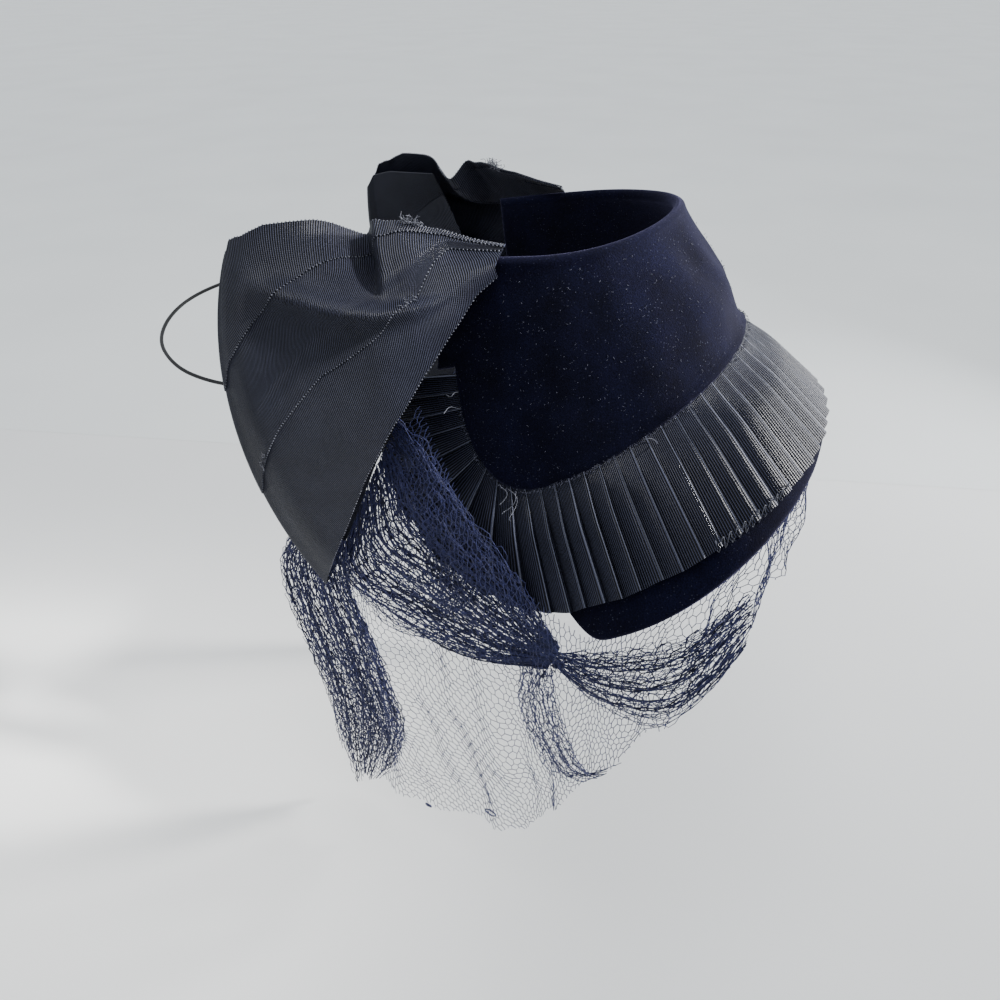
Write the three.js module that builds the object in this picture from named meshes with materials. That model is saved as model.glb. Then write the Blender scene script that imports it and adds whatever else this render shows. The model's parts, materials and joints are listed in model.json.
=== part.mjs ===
import * as THREE from 'three';

// Half hat with an open crown, a pleated brim, a ribbon bow at each side and a face veil
// Millimetres and degrees, worn upright: +Z up, front towards -Y, the wearer's left towards +X
// The origin is the middle of the crown's base ring, inside the head

// Top rim of the crown
const rimHalfWidth = 57.8;
const rimHalfLength = 47.9;
const rimCentreY = 27.9;
const rimHeight = 92.1;
const rimTilt = 7.5;
const rimRollRadius = 2.9;

// Base ring of the crown
const baseHalfWidth = 82.5;
const baseHalfLength = 80.9;
const baseCentreY = 0.7;
const baseTilt = 35.2;

// Crown wall, and the round back corner where its foot turns up
const crownWall = 3;
const crownBackAngle = 148;
const crownCornerAngle = 98;
const hemBackAngle = 136;
const crownBackShare = 0.42;
const crownTabLift = 0.03;
const crownFrontBulge = 6.8;
const crownBulgeSpan = 48;
const sideTaper = 0.45;

// Outer edge of the velvet brim
const brimHalfWidth = 126.4;
const brimHalfLength = 96.1;
const brimCentreY = -34.1;
const brimDrop = 48.4;
const brimTilt = 35.3;
const brimWall = 2.4;
const brimBackAngle = 114;
const brimTaperAngle = 92;
const brimBackDip = 2.2;

// Pleated ribbon on the brim
const pleatRibbonWidth = 58;
const pleatPitch = 8.1;
const pleatHeight = 3.6;
const pleatOverlap = 0.9;
const pleatWall = 1;
const pleatRootHeight = 0.9;
const pleatRootOverlap = 0.2;
const pleatRootGap = 0.5;
const pleatRise = 0.45;

// Ribbon bows, measured from the point where each one hooks over the rim
const bowHookAngle = 107;
const bowLength = 124;
const bowDrop = 182;
const bowSplay = 36;
const bowFullness = 14;
const bowBackBulge = 18;
const bowSidePuff = 4;
const bowWall = 1.5;
const bowRibStep = 0.7;
const bowPinchDepth = 13;
const bowRidgeHeight = 5;

// Net veil
const veilWall = 1.2;
const veilLength = 262;
const veilGatherBack = 75;
const veilGatherHeight = 24;
const veilGatherOut = 78.5;
const veilBackReach = 138;
const veilBackOut = 82;
const veilBelly = 58;
const veilInset = 2.5;
const veilRootGap = 0.8;
const veilFoldDepth = 3.2;
const veilFoldTurns = 46;
const veilDrape = 0.9;
const veilGatherPuff = 14;
const veilStrandRow = 0.22;
const veilZigzag = 0.03;
const veilMeshes = 12;
const veilMeshRows = 9;
const veilStrand = 0.2;
const veilCrowding = 0.22;

// Elastic cord and the space left between pieces that touch
const elasticDiameter = 2;
const clearance = 0.3;

const rim = {
  halfWidth: rimHalfWidth,
  halfLength: rimHalfLength,
  centreY: rimCentreY,
  centreZ: rimHeight,
  tilt: rimTilt,
};
const base = {
  halfWidth: baseHalfWidth,
  halfLength: baseHalfLength,
  centreY: baseCentreY,
  centreZ: 0,
  tilt: baseTilt,
};
const brimEdge = {
  halfWidth: brimHalfWidth,
  halfLength: brimHalfLength,
  centreY: brimCentreY,
  centreZ: -brimDrop,
  tilt: brimTilt,
};

// Soft creases pressed into the velvet, each with its angle, share of the height, spans, lean and depth
const crownCreases = [
  { angle: -14, share: 0.42, spanAngle: 7, spanShare: 0.34, lean: 22, depth: 0.5 },
  { angle: 6, share: 0.55, spanAngle: 6, spanShare: 0.3, lean: 26, depth: 0.42 },
  { angle: -40, share: 0.6, spanAngle: 10, spanShare: 0.25, lean: -14, depth: 0.3 },
  { angle: 30, share: 0.5, spanAngle: 9, spanShare: 0.3, lean: 18, depth: 0.36 },
  { angle: -78, share: 0.72, spanAngle: 9, spanShare: 0.16, lean: 10, depth: 0.28 },
];

// Bow edges from the hook (along 0) to the fold at the back (along 1), as shares of splay, length and drop
const bowSections = [
  { along: 0.0, topOut: -0.14, topBack: 0.0, topDown: 0.011, lowOut: 0.16, lowBack: 0.0, lowDown: 0.047 },
  { along: 0.12, topOut: -0.12, topBack: 0.1, topDown: 0.0, lowOut: 0.3, lowBack: 0.06, lowDown: 0.09 },
  { along: 0.25, topOut: -0.1, topBack: 0.22, topDown: -0.014, lowOut: 0.5, lowBack: 0.125, lowDown: 0.165 },
  { along: 0.38, topOut: -0.08, topBack: 0.35, topDown: -0.014, lowOut: 0.68, lowBack: 0.21, lowDown: 0.26 },
  { along: 0.5, topOut: -0.06, topBack: 0.48, topDown: -0.012, lowOut: 0.78, lowBack: 0.31, lowDown: 0.38 },
  { along: 0.65, topOut: 0.0, topBack: 0.67, topDown: -0.008, lowOut: 0.82, lowBack: 0.44, lowDown: 0.55 },
  { along: 0.8, topOut: 0.1, topBack: 0.84, topDown: -0.002, lowOut: 0.83, lowBack: 0.565, lowDown: 0.75 },
  { along: 0.92, topOut: 0.2, topBack: 0.94, topDown: 0.018, lowOut: 0.82, lowBack: 0.665, lowDown: 0.9 },
  { along: 1.0, topOut: 0.26, topBack: 0.98, topDown: 0.055, lowOut: 0.8, lowBack: 0.72, lowDown: 0.985 },
];

// Seams between the three ribbons of a bow, as shares of its width: they fan out towards the fold
const bowSeams = [
  { along: 0.0, first: 0.05, second: 0.14 },
  { along: 0.22, first: 0.05, second: 0.17 },
  { along: 0.27, first: 0.05, second: 0.3 },
  { along: 0.34, first: 0.06, second: 0.5 },
  { along: 0.38, first: 0.07, second: 0.55 },
  { along: 0.5, first: 0.1, second: 0.58 },
  { along: 0.65, first: 0.19, second: 0.57 },
  { along: 0.8, first: 0.28, second: 0.61 },
  { along: 1.0, first: 0.37, second: 0.68 },
];

// Veil columns from the middle of the front to the back edge
// Column: brim angle, share of the way from the brim to the gather, drop, and shares of the belly and back reach
const veilColumns = [
  { place: 0.0, angle: 0, toGather: 0, drop: 0.27, belly: 0.0, reach: 0.0 },
  { place: 0.18, angle: 30, toGather: 0, drop: 0.28, belly: 0.0, reach: 0.0 },
  { place: 0.34, angle: 58, toGather: 0, drop: 0.33, belly: 0.02, reach: 0.0 },
  { place: 0.5, angle: 85, toGather: 0, drop: 0.41, belly: 0.03, reach: 0.0 },
  { place: 0.62, angle: 103, toGather: 0, drop: 0.53, belly: 0.05, reach: 0.0 },
  { place: 0.76, angle: 108, toGather: 0.34, drop: 0.76, belly: 0.14, reach: 0.14 },
  { place: 0.88, angle: 108, toGather: 0.7, drop: 0.88, belly: 0.42, reach: 0.52 },
  { place: 1.0, angle: 108, toGather: 1.0, drop: 0.93, belly: 0.8, reach: 1.0 },
];

// Route of the elastic, from the crown's back edge under one bow, round the back of the head
const elasticRoute = [
  [-57.7, 74.05, 45.3],
  [-62, 92, 41],
  [-69, 116, 33.5],
  [-73, 150, 22],
  [-71, 184, 15],
  [-66, 215, 16],
  [-50, 240, 19],
  [-26, 256, 21],
  [0, 261, 24],
  [26, 256, 26],
  [50, 240, 28],
  [66, 215, 30],
  [71, 184, 32],
  [73, 150, 35],
  [69, 116, 39.5],
  [62, 92, 43.5],
  [57.7, 74.05, 45.3],
];

const radians = THREE.MathUtils.degToRad;
const mix = THREE.MathUtils.lerp;
const smooth = (value, from, to) => THREE.MathUtils.smoothstep(value, from, to);

function blendRows(rows, key, place, name) {
  const last = rows.length - 2;
  const found = rows.findIndex((row, index) => index > 0 && row[key] >= place) - 1;
  const index = found < 0 ? last : Math.min(found, last);
  const from = rows[index];
  const to = rows[index + 1];
  const share = (place - from[key]) / (to[key] - from[key]);
  return mix(from[name], to[name], share);
}

// One closed body between two grids of points, walled round its border and round each open cell
function slab(front, back, isOpen = () => false) {
  const rows = front.length;
  const columns = front[0].length;
  const points = [...front.flat(), ...back.flat()];
  const faces = [];
  const at = (row, column) => row * columns + column;
  const behind = (row, column) => rows * columns + at(row, column);
  const solid = (row, column) =>
    row >= 0 && column >= 0 && row < rows - 1 && column < columns - 1 && !isOpen(row, column);
  const wall = (fromRow, fromColumn, toRow, toColumn) => {
    const [a, b] = [at(fromRow, fromColumn), at(toRow, toColumn)];
    const [c, d] = [behind(toRow, toColumn), behind(fromRow, fromColumn)];
    faces.push(b, a, c, c, a, d);
  };
  for (let row = 0; row < rows - 1; row += 1) {
    for (let column = 0; column < columns - 1; column += 1) {
      if (!solid(row, column)) continue;
      const [a, b] = [at(row, column), at(row, column + 1)];
      const [c, d] = [at(row + 1, column + 1), at(row + 1, column)];
      faces.push(a, b, c, a, c, d);
      const shift = rows * columns;
      faces.push(c + shift, b + shift, a + shift, d + shift, c + shift, a + shift);
      if (!solid(row - 1, column)) wall(row, column, row, column + 1);
      if (!solid(row, column + 1)) wall(row, column + 1, row + 1, column + 1);
      if (!solid(row + 1, column)) wall(row + 1, column + 1, row + 1, column);
      if (!solid(row, column - 1)) wall(row + 1, column, row, column);
    }
  }
  return bodyFrom(points, faces);
}

// Signed volume of a closed set of faces
function volumeOf(points, faces) {
  let volume = 0;
  for (let face = 0; face < faces.length; face += 3) {
    const [a, b, c] = [points[faces[face]], points[faces[face + 1]], points[faces[face + 2]]];
    volume += a.dot(new THREE.Vector3().crossVectors(b, c)) / 6;
  }
  return volume;
}

// Geometry from points and faces, with its faces turned outwards and unused points left out
function bodyFrom(points, faces) {
  const outward = volumeOf(points, faces) > 0 ? faces : [...faces].reverse();
  const used = [...new Set(outward)];
  const renumbered = new Map(used.map((old, index) => [old, index]));
  const geometry = new THREE.BufferGeometry();
  const values = used.flatMap((old) => points[old].toArray());
  geometry.setAttribute('position', new THREE.Float32BufferAttribute(values, 3));
  geometry.setIndex(outward.map((old) => renumbered.get(old)));
  geometry.computeVertexNormals();
  return geometry;
}

// Ring that is half an ellipse in front and runs on towards the back at both sides
function ringPoint(ring, angle) {
  const side = angle < 0 ? -1 : 1;
  const turn = Math.min(Math.abs(angle), 90);
  const past = Math.max(0, Math.abs(angle) - 90);
  const x = side * ring.halfWidth * Math.sin(radians(turn)) * Math.cos(radians(past * sideTaper));
  const along = ring.halfLength * (radians(past) - Math.cos(radians(turn)));
  const y = ring.centreY + along * Math.cos(radians(ring.tilt));
  const z = ring.centreZ - along * Math.sin(radians(ring.tilt));
  return new THREE.Vector3(x, y, z);
}

// Point on the crown's outer face, from the rim (share 0) to the base ring (share 1)
function crownPoint(angle, share) {
  return ringPoint(rim, angle).lerp(ringPoint(base, angle), share);
}

function crownNormal(angle, share) {
  const step = 0.5;
  const across = crownPoint(angle + step, share).sub(crownPoint(angle - step, share));
  const down = ringPoint(base, angle).sub(ringPoint(rim, angle));
  return down.cross(across).normalize();
}

function creaseDepth(angle, share) {
  return crownCreases.reduce((total, crease) => {
    const lean = crease.lean * (share - crease.share);
    const offAngle = (angle - crease.angle - lean) / crease.spanAngle;
    const offShare = (share - crease.share) / crease.spanShare;
    return total + crease.depth * crownWall * Math.exp(-offAngle * offAngle - offShare * offShare);
  }, 0);
}

// Foot of the crown: along the base ring, then round the back corner and up to the back edge
const hemCornerStep = 0.78;

function hemPlace(step) {
  const side = step < 0 ? -1 : 1;
  const size = Math.abs(step);
  if (size <= hemCornerStep) return { angle: (step / hemCornerStep) * crownCornerAngle, share: 1 };
  const turn = radians(((size - hemCornerStep) / (1 - hemCornerStep)) * 90);
  const angle = mix(crownCornerAngle, hemBackAngle, Math.sin(turn));
  return { angle: side * angle, share: mix(crownBackShare, 1, Math.cos(turn)) };
}

function hemPoint(step) {
  const { angle, share } = hemPlace(step);
  return crownPoint(angle, share);
}

function frontBulge(angle, share) {
  return crownFrontBulge * Math.exp(-((angle / crownBulgeSpan) ** 2)) * (1 - smooth(share, 0.55, 0.97));
}

function footShare(angle) {
  if (Math.abs(angle) > hemBackAngle) return crownBackShare - crownTabLift;
  const past = Math.max(0, Math.abs(angle) - crownCornerAngle) / (hemBackAngle - crownCornerAngle);
  return mix(crownBackShare, 1, Math.sqrt(Math.max(0, 1 - past * past)));
}

// Length of edge passed at each of many fine steps along the foot
function hemWalk(fine) {
  const lengths = [0];
  for (let index = 1; index <= fine; index += 1) {
    const gap = hemPoint(-1 + (2 * index) / fine).distanceTo(hemPoint(-1 + (2 * (index - 1)) / fine));
    lengths.push(lengths[index - 1] + gap);
  }
  return lengths;
}

// Steps along the foot, one to each pleat's pitch, that lie the same length of edge apart
function pleatSteps() {
  const fine = 600;
  const lengths = hemWalk(fine);
  const count = Math.round(lengths[fine] / pleatPitch);
  const steps = [];
  for (let place = 0; place <= count; place += 1) {
    const wanted = (lengths[fine] * place) / count;
    const index = Math.max(1, lengths.findIndex((length) => length >= wanted - 1e-9));
    const part = (wanted - lengths[index - 1]) / (lengths[index] - lengths[index - 1]);
    steps.push(-1 + (2 * (index - 1 + part)) / fine);
  }
  return steps;
}

// Directions at a step along the foot: along it, out over the brim, and up from the brim
function hemFrame(step) {
  const reach = 0.004;
  const along = hemPoint(Math.min(1, step + reach)).sub(hemPoint(Math.max(-1, step - reach))).normalize();
  const { angle, share } = hemPlace(step);
  const normal = crownNormal(angle, share);
  const inFace = new THREE.Vector3().crossVectors(along, normal).normalize();
  const flare = ringPoint(brimEdge, angle).sub(ringPoint(base, angle)).normalize();
  const corner = Math.max(0, Math.abs(step) - hemCornerStep) / (1 - hemCornerStep);
  const out = flare.lerp(inFace, 0.88 * smooth(corner, 0, 0.8)).normalize();
  const up = new THREE.Vector3().crossVectors(out, along).normalize();
  if (up.dot(normal) < 0) up.negate();
  return { along, out, up };
}

// Velvet band that runs round the front and sides of the head, rolled over at its top edge
function crownBand() {
  const rollAngles = [68, 36, 4, -34];
  const heightShares = [0.16, 0.3, 0.45, 0.6, 0.75, 0.88, 1];
  const angles = [-crownBackAngle, -mix(hemBackAngle, crownBackAngle, 0.15)];
  const stations = 38;
  for (let index = 0; index <= stations; index += 1) {
    const step = mix(-1, 1, index / stations);
    const eased = Math.sign(step) * (1 - (1 - Math.abs(step)) ** 1.12);
    angles.push(hemBackAngle * eased);
  }
  angles.push(mix(hemBackAngle, crownBackAngle, 0.15), crownBackAngle);
  const section = (angle, side) => {
    const height = ringPoint(rim, angle).distanceTo(ringPoint(base, angle));
    const place = (share, offset) =>
      crownPoint(angle, share).addScaledVector(crownNormal(angle, share), offset + frontBulge(angle, share));
    const roll = rollAngles.map((turn) => {
      const share = (rimRollRadius * (1 - Math.sin(radians(turn)))) / height;
      return place(share, -crownWall / 2 + side * rimRollRadius * Math.cos(radians(turn)));
    });
    const wall = heightShares.map((part) => {
      const share = part * footShare(angle);
      return place(share, (side > 0 ? 0 : -crownWall) - creaseDepth(angle, share));
    });
    return [...roll, ...wall];
  };
  return slab(angles.map((angle) => section(angle, 1)), angles.map((angle) => section(angle, -1)));
}

// Velvet brim under the pleats, from the crown's foot to the brim's edge
function brimPoint(angle, share) {
  const taper = smooth(Math.abs(angle), brimTaperAngle, brimBackAngle);
  const reach = mix(1, 0.45, taper * taper);
  return ringPoint(base, angle).lerp(ringPoint(brimEdge, angle), share * reach);
}

function brimDip(angle) {
  return brimBackDip * smooth(Math.abs(angle), brimTaperAngle, brimBackAngle);
}

function brimNormal(angle, share) {
  const across = brimPoint(angle + 0.5, share).sub(brimPoint(angle - 0.5, share));
  const out = ringPoint(brimEdge, angle).sub(ringPoint(base, angle));
  return out.cross(across).normalize();
}

function brim() {
  const shares = [0.02, 0.35, 0.7, 0.95, 1];
  const edgeRounding = [1, 1, 1, 0.9, 0.5];
  const stations = 38;
  const face = (depth, side) => {
    const grid = [];
    for (let index = 0; index <= stations; index += 1) {
      const angle = mix(-brimBackAngle, brimBackAngle, index / stations);
      grid.push(shares.map((share, place) => {
        const half = (side * brimWall * edgeRounding[place]) / 2;
        const dip = brimDip(angle) * share;
        return brimPoint(angle, share).addScaledVector(brimNormal(angle, share), half - depth - dip);
      }));
    }
    return grid;
  };
  const depth = pleatRootHeight + pleatWall + clearance + brimWall / 2;
  return slab(face(depth, 1), face(depth, -1));
}

// Knife pleats, laid from the left side round to the right: each fold stands over the foot of the face before it
function pleatedRuffle() {
  const steps = pleatSteps().reverse();
  const pleats = steps.length - 1;
  const shares = [0, 0.12, 0.4, 0.7, 1];
  const frames = steps.map((step) => {
    const { along, out, up } = hemFrame(step);
    return { point: hemPoint(step), along: along.negate(), out, up };
  });
  const row = (share, side) => {
    const length = mix(pleatRootGap, pleatRibbonWidth, share);
    const height = mix(pleatRootHeight, pleatHeight, smooth(share, 0, pleatRise));
    const overlap = mix(pleatRootOverlap, pleatOverlap, smooth(share, 0, pleatRise));
    const line = [];
    frames.forEach((frame, index) => {
      const foot = frame.point.clone().addScaledVector(frame.out, length);
      const next = frames[Math.min(index + 1, pleats)];
      const ahead = next.point.clone().addScaledVector(next.out, length);
      const pitch = index < pleats ? foot.distanceTo(ahead) : pleatPitch;
      const slope = Math.atan2(height, pitch + overlap);
      const back = Math.atan2(height, overlap);
      const mitre = pleatWall / 2 / Math.sin((back - slope) / 2);
      const across = mitre * Math.cos((back + slope) / 2);
      const rise = mitre * Math.sin((back + slope) / 2);
      const at = (along, up) =>
        foot.clone()
          .addScaledVector(frame.along, along - side * across)
          .addScaledVector(frame.up, up + rise + side * rise - pleatRootHeight - pleatWall);
      if (index > 0) line.push(at(overlap, 0));
      line.push(at(0, height));
    });
    return line;
  };
  return slab(shares.map((share) => row(share, 1)), shares.map((share) => row(share, -1)));
}

// Bow: edges, face and fullness, mirrored for the other side
function bowEdge(side, along, edge) {
  const hook = ringPoint(rim, side * bowHookAngle);
  const value = (name) => blendRows(bowSections, 'along', along, edge + name);
  return new THREE.Vector3(
    hook.x + side * value('Out') * bowSplay,
    hook.y + value('Back') * bowLength,
    hook.z + rimRollRadius - value('Down') * bowDrop,
  );
}

function bowFace(side, along, across) {
  const top = bowEdge(side, along, 'top');
  const low = bowEdge(side, along, 'low');
  const arch = 4 * across * (1 - across);
  const point = top.lerp(low, across);
  point.y += bowBackBulge * arch * smooth(along, 0.45, 1);
  point.x += side * bowSidePuff * arch * (1 + smooth(along, 0.1, 0.5));
  point.z += bowSidePuff * arch * smooth(along, 0.1, 0.4) * (1 - across);
  return point;
}

function bowNormal(side, along, across) {
  const reach = 0.02;
  const lengthways = bowFace(side, Math.min(1, along + reach), across)
    .sub(bowFace(side, Math.max(0, along - reach), across));
  const crossways = bowFace(side, along, Math.min(1, across + reach))
    .sub(bowFace(side, along, Math.max(0, across - reach)));
  const normal = lengthways.cross(crossways).normalize();
  if (normal.x * side < 0) normal.negate();
  return normal;
}

// Deep fold where the ribbon is pinched, with a full ridge beside it
function bowPinch(along, across) {
  const fold = (along - 0.53 + 0.12 * across) / 0.06;
  const ridge = (along - 0.95 + across) / 0.06;
  const hollow = bowPinchDepth * (1 - smooth(across, 0.12, 0.46));
  const swell = bowRidgeHeight * smooth(across, 0.12, 0.3) * (1 - smooth(across, 0.5, 0.72));
  return -hollow * Math.exp(-fold * fold) + swell * Math.exp(-ridge * ridge);
}

function bowRow(side, row) {
  const hiddenEnd = 0.6;
  const topStations = [0, 0.08, 0.16, 0.25, 0.34, 0.42, 0.48, 0.54, 0.62, 0.72, 0.82, 0.92, 0.985];
  const foldTurns = [45, 90, 135];
  const lowStations = [0.985, 0.88, 0.78, 0.69, hiddenEnd];
  const shares = [0, 0.34, 0.67, 1];
  const full = (along) => bowFullness * smooth(along, 0.1, 0.9) * (1 - 0.3 * smooth(along, 0.85, 1));
  const step = bowRibStep * (2 - row);
  const seam = (along, across) => {
    const width = bowEdge(side, along, 'top').distanceTo(bowEdge(side, along, 'low'));
    const inset = clearance / width;
    const first = blendRows(bowSeams, 'along', along, 'first');
    const second = blendRows(bowSeams, 'along', along, 'second');
    const seams = [0, first, second, 1];
    return mix(seams[row] + inset / 2, seams[row + 1] - inset / 2, across);
  };
  const line = (share, offset) => {
    const path = [];
    topStations.forEach((along) => {
      const across = seam(along, share);
      const height = full(along) + bowPinch(along, across) + step + bowWall;
      path.push(bowFace(side, along, across).addScaledVector(bowNormal(side, along, across), height + offset));
    });
    const across = seam(0.985, share);
    const fold = bowFace(side, 0.985, across);
    const normal = bowNormal(side, 0.985, across);
    const back = bowFace(side, 0.985, across).sub(bowFace(side, 0.93, across)).normalize();
    const radius = (full(0.985) + step + bowWall) / 2;
    foldTurns.forEach((turn) => {
      const out = (radius + offset) * Math.sin(radians(turn));
      const up = radius + (radius + offset) * Math.cos(radians(turn));
      path.push(fold.clone().addScaledVector(back, out).addScaledVector(normal, up));
    });
    lowStations.forEach((along) => {
      const place = seam(along, share);
      path.push(bowFace(side, along, place).addScaledVector(bowNormal(side, along, place), -offset));
    });
    return path;
  };
  return slab(shares.map((share) => line(share, bowWall / 2)), shares.map((share) => line(share, -bowWall / 2)));
}

// Net veil: from under the brim's edge at the front to a gather under each bow
function veilPoint(place, share) {
  const side = place < 0 ? -1 : 1;
  const value = (name) => blendRows(veilColumns, 'place', Math.abs(place), name);
  const angle = side * value('angle');
  const rootShare = 1 - veilInset / pleatRibbonWidth;
  const under = pleatRootHeight + pleatWall + brimWall + veilWall / 2 + veilRootGap;
  const root = ringPoint(base, angle).lerp(ringPoint(brimEdge, angle), rootShare)
    .addScaledVector(brimNormal(angle, 1), -under - 2 * brimDip(angle));
  const gather = new THREE.Vector3(side * veilGatherOut, veilGatherBack, veilGatherHeight);
  const toGather = value('toGather');
  const top = root.clone().lerp(gather, toGather);
  top.x += side * veilGatherPuff * Math.sin(Math.PI * toGather);
  const hem = root.clone();
  hem.y += value('reach') * (veilBackReach - root.y);
  hem.x = mix(root.x, side * veilBackOut, value('reach'));
  hem.z = root.z - value('drop') * veilLength * veilDrape;
  const point = top.lerp(hem, share);
  const belly = value('belly') * Math.sin(Math.PI * Math.min(1, share * 1.15));
  point.y += belly * veilBelly;
  return point;
}

function veil() {
  const columns = 4 * veilMeshes;
  const rows = 2 * veilMeshRows;
  const columnPlace = (column) => {
    const period = Math.floor(column / 4);
    const parts = [0, veilStrand, 0.5, 0.5 + veilStrand];
    const place = mix(-1, 1, (period + parts[column % 4]) / (veilMeshes + veilStrand));
    return place * (1 + veilCrowding * (1 - Math.abs(place)));
  };
  const rowPlace = (row, column) => {
    const period = Math.floor(row / 2);
    const share = (period + (row % 2 ? veilStrandRow : 0)) / (veilMeshRows + veilStrandRow);
    const zigzag = veilZigzag * Math.cos((Math.PI * (column + 1.5)) / 2) * (period % 2 ? 1 : -1);
    const inner = row > 1 && row < rows ? 1 : 0;
    return share + inner * zigzag;
  };
  const grid = (side) => {
    const lines = [];
    for (let row = 0; row <= rows + 1; row += 1) {
      const line = [];
      for (let column = 0; column <= columns + 1; column += 1) {
        const place = columnPlace(column);
        const share = rowPlace(row, column);
        const free = smooth(share, 0.05, 0.5) * (1 - smooth(Math.abs(place), 0.8, 0.96));
        const fold = veilFoldDepth * Math.sin(place * veilFoldTurns) * free;
        const point = veilPoint(place, share);
        const across = veilPoint(Math.min(1, place + 0.01), share).sub(veilPoint(Math.max(-1, place - 0.01), share));
        const down = veilPoint(place, Math.min(1, share + 0.02)).sub(veilPoint(place, Math.max(0, share - 0.02)));
        const normal = down.cross(across).normalize();
        line.push(point.addScaledVector(normal, fold + (side * veilWall) / 2));
      }
      lines.push(line);
    }
    return lines;
  };
  const isOpen = (row, column) => {
    const netRow = Math.floor(row / 2);
    if (row % 2 === 0 || column === 0 || column === columns) return false;
    return netRow % 2 ? column % 4 !== 2 : column % 4 !== 0;
  };
  return slab(grid(1), grid(-1), isOpen);
}

// Round elastic cord along its route
function elastic() {
  const section = new THREE.Shape();
  const sides = 6;
  for (let corner = 0; corner < sides; corner += 1) {
    const turn = (2 * Math.PI * corner) / sides;
    const point = [(elasticDiameter / 2) * Math.cos(turn), (elasticDiameter / 2) * Math.sin(turn)];
    if (corner === 0) section.moveTo(...point);
    else section.lineTo(...point);
  }
  const route = new THREE.CatmullRomCurve3(elasticRoute.map((point) => new THREE.Vector3(...point)));
  return new THREE.ExtrudeGeometry(section, { steps: 50, extrudePath: route, bevelEnabled: false });
}

const velvet = new THREE.MeshStandardMaterial({ color: 0x0d0e22, roughness: 0.95, metalness: 0 });
const grosgrain = new THREE.MeshStandardMaterial({ color: 0x151a2b, roughness: 0.62, metalness: 0 });
const net = new THREE.MeshStandardMaterial({ color: 0x1a2046, roughness: 0.7, metalness: 0 });
const cordBlack = new THREE.MeshStandardMaterial({ color: 0x0b0b0d, roughness: 0.75, metalness: 0 });

const hat = new THREE.Group();

function addPiece(name, geometry, material) {
  const mesh = new THREE.Mesh(geometry, material);
  mesh.name = name;
  hat.add(mesh);
}

addPiece('crown_band', crownBand(), velvet);
addPiece('brim', brim(), velvet);
addPiece('pleated_ruffle', pleatedRuffle(), grosgrain);
for (const [name, side] of [['right', -1], ['left', 1]]) {
  for (let row = 0; row < 3; row += 1) {
    addPiece(`bow_${name}_row_${row + 1}`, bowRow(side, row), grosgrain);
  }
}
addPiece('veil', veil(), net);
addPiece('elastic', elastic(), cordBlack);

export default hat;
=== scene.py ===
import json
import math

import bpy
import numpy as np
from mathutils import Matrix, Vector

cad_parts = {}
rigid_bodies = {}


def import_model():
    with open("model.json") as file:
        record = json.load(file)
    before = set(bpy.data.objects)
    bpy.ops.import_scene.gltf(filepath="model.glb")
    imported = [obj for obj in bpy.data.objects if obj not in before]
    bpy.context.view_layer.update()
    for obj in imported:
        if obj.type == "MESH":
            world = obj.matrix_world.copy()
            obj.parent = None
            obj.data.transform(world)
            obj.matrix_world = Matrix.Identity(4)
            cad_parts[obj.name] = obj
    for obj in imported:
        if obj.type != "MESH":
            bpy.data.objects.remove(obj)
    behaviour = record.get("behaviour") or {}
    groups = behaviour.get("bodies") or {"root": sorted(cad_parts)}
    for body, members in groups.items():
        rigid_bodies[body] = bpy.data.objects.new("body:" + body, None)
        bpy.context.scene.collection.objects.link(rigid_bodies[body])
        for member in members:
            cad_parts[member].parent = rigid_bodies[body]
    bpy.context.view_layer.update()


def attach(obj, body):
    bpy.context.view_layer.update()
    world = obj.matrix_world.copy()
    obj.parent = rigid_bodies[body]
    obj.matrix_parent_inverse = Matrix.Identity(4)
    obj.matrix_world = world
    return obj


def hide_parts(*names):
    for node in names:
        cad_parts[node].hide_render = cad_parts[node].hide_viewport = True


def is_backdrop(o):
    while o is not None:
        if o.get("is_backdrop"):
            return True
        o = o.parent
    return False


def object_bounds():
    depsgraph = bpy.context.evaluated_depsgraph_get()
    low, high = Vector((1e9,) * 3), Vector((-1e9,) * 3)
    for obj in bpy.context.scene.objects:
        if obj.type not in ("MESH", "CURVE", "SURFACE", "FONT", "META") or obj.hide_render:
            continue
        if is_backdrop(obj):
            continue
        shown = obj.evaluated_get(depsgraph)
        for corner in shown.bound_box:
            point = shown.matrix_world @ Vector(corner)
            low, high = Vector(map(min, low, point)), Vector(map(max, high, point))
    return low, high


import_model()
print("frame loaded")

# Rings that the hat is laid out on, in metres and degrees, the same as in the solids
rim = {"halfWidth": 0.0578, "halfLength": 0.0479, "centreY": 0.0279, "centreZ": 0.0921, "tilt": 7.5}
base = {"halfWidth": 0.0825, "halfLength": 0.0809, "centreY": 0.0007, "centreZ": 0.0, "tilt": 35.2}
brimEdge = {"halfWidth": 0.1264, "halfLength": 0.0961, "centreY": -0.0341, "centreZ": -0.0484, "tilt": 35.3}
sideTaper = 0.45
clearance = 0.0003


def clearSelection():
    if bpy.context.object and bpy.context.object.mode != "OBJECT":
        bpy.ops.object.mode_set(mode="OBJECT")
    bpy.ops.object.select_all(action="DESELECT")


def pick(piece):
    clearSelection()
    piece.select_set(True)
    bpy.context.view_layer.objects.active = piece


def applyModifiers(piece):
    pick(piece)
    for modifier in list(piece.modifiers):
        bpy.ops.object.modifier_apply(modifier=modifier.name)


def mix(low, high, share):
    return low + (high - low) * share


def smooth(value, low, high):
    share = np.clip((np.asarray(value, float) - low) / (high - low), 0, 1)
    return share * share * (3 - 2 * share)


def unit(vectors):
    return vectors / np.maximum(np.linalg.norm(vectors, axis=-1, keepdims=True), 1e-12)


def lerp(a, b, share):
    return a + (b - a) * np.asarray(share)[..., None]


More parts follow.
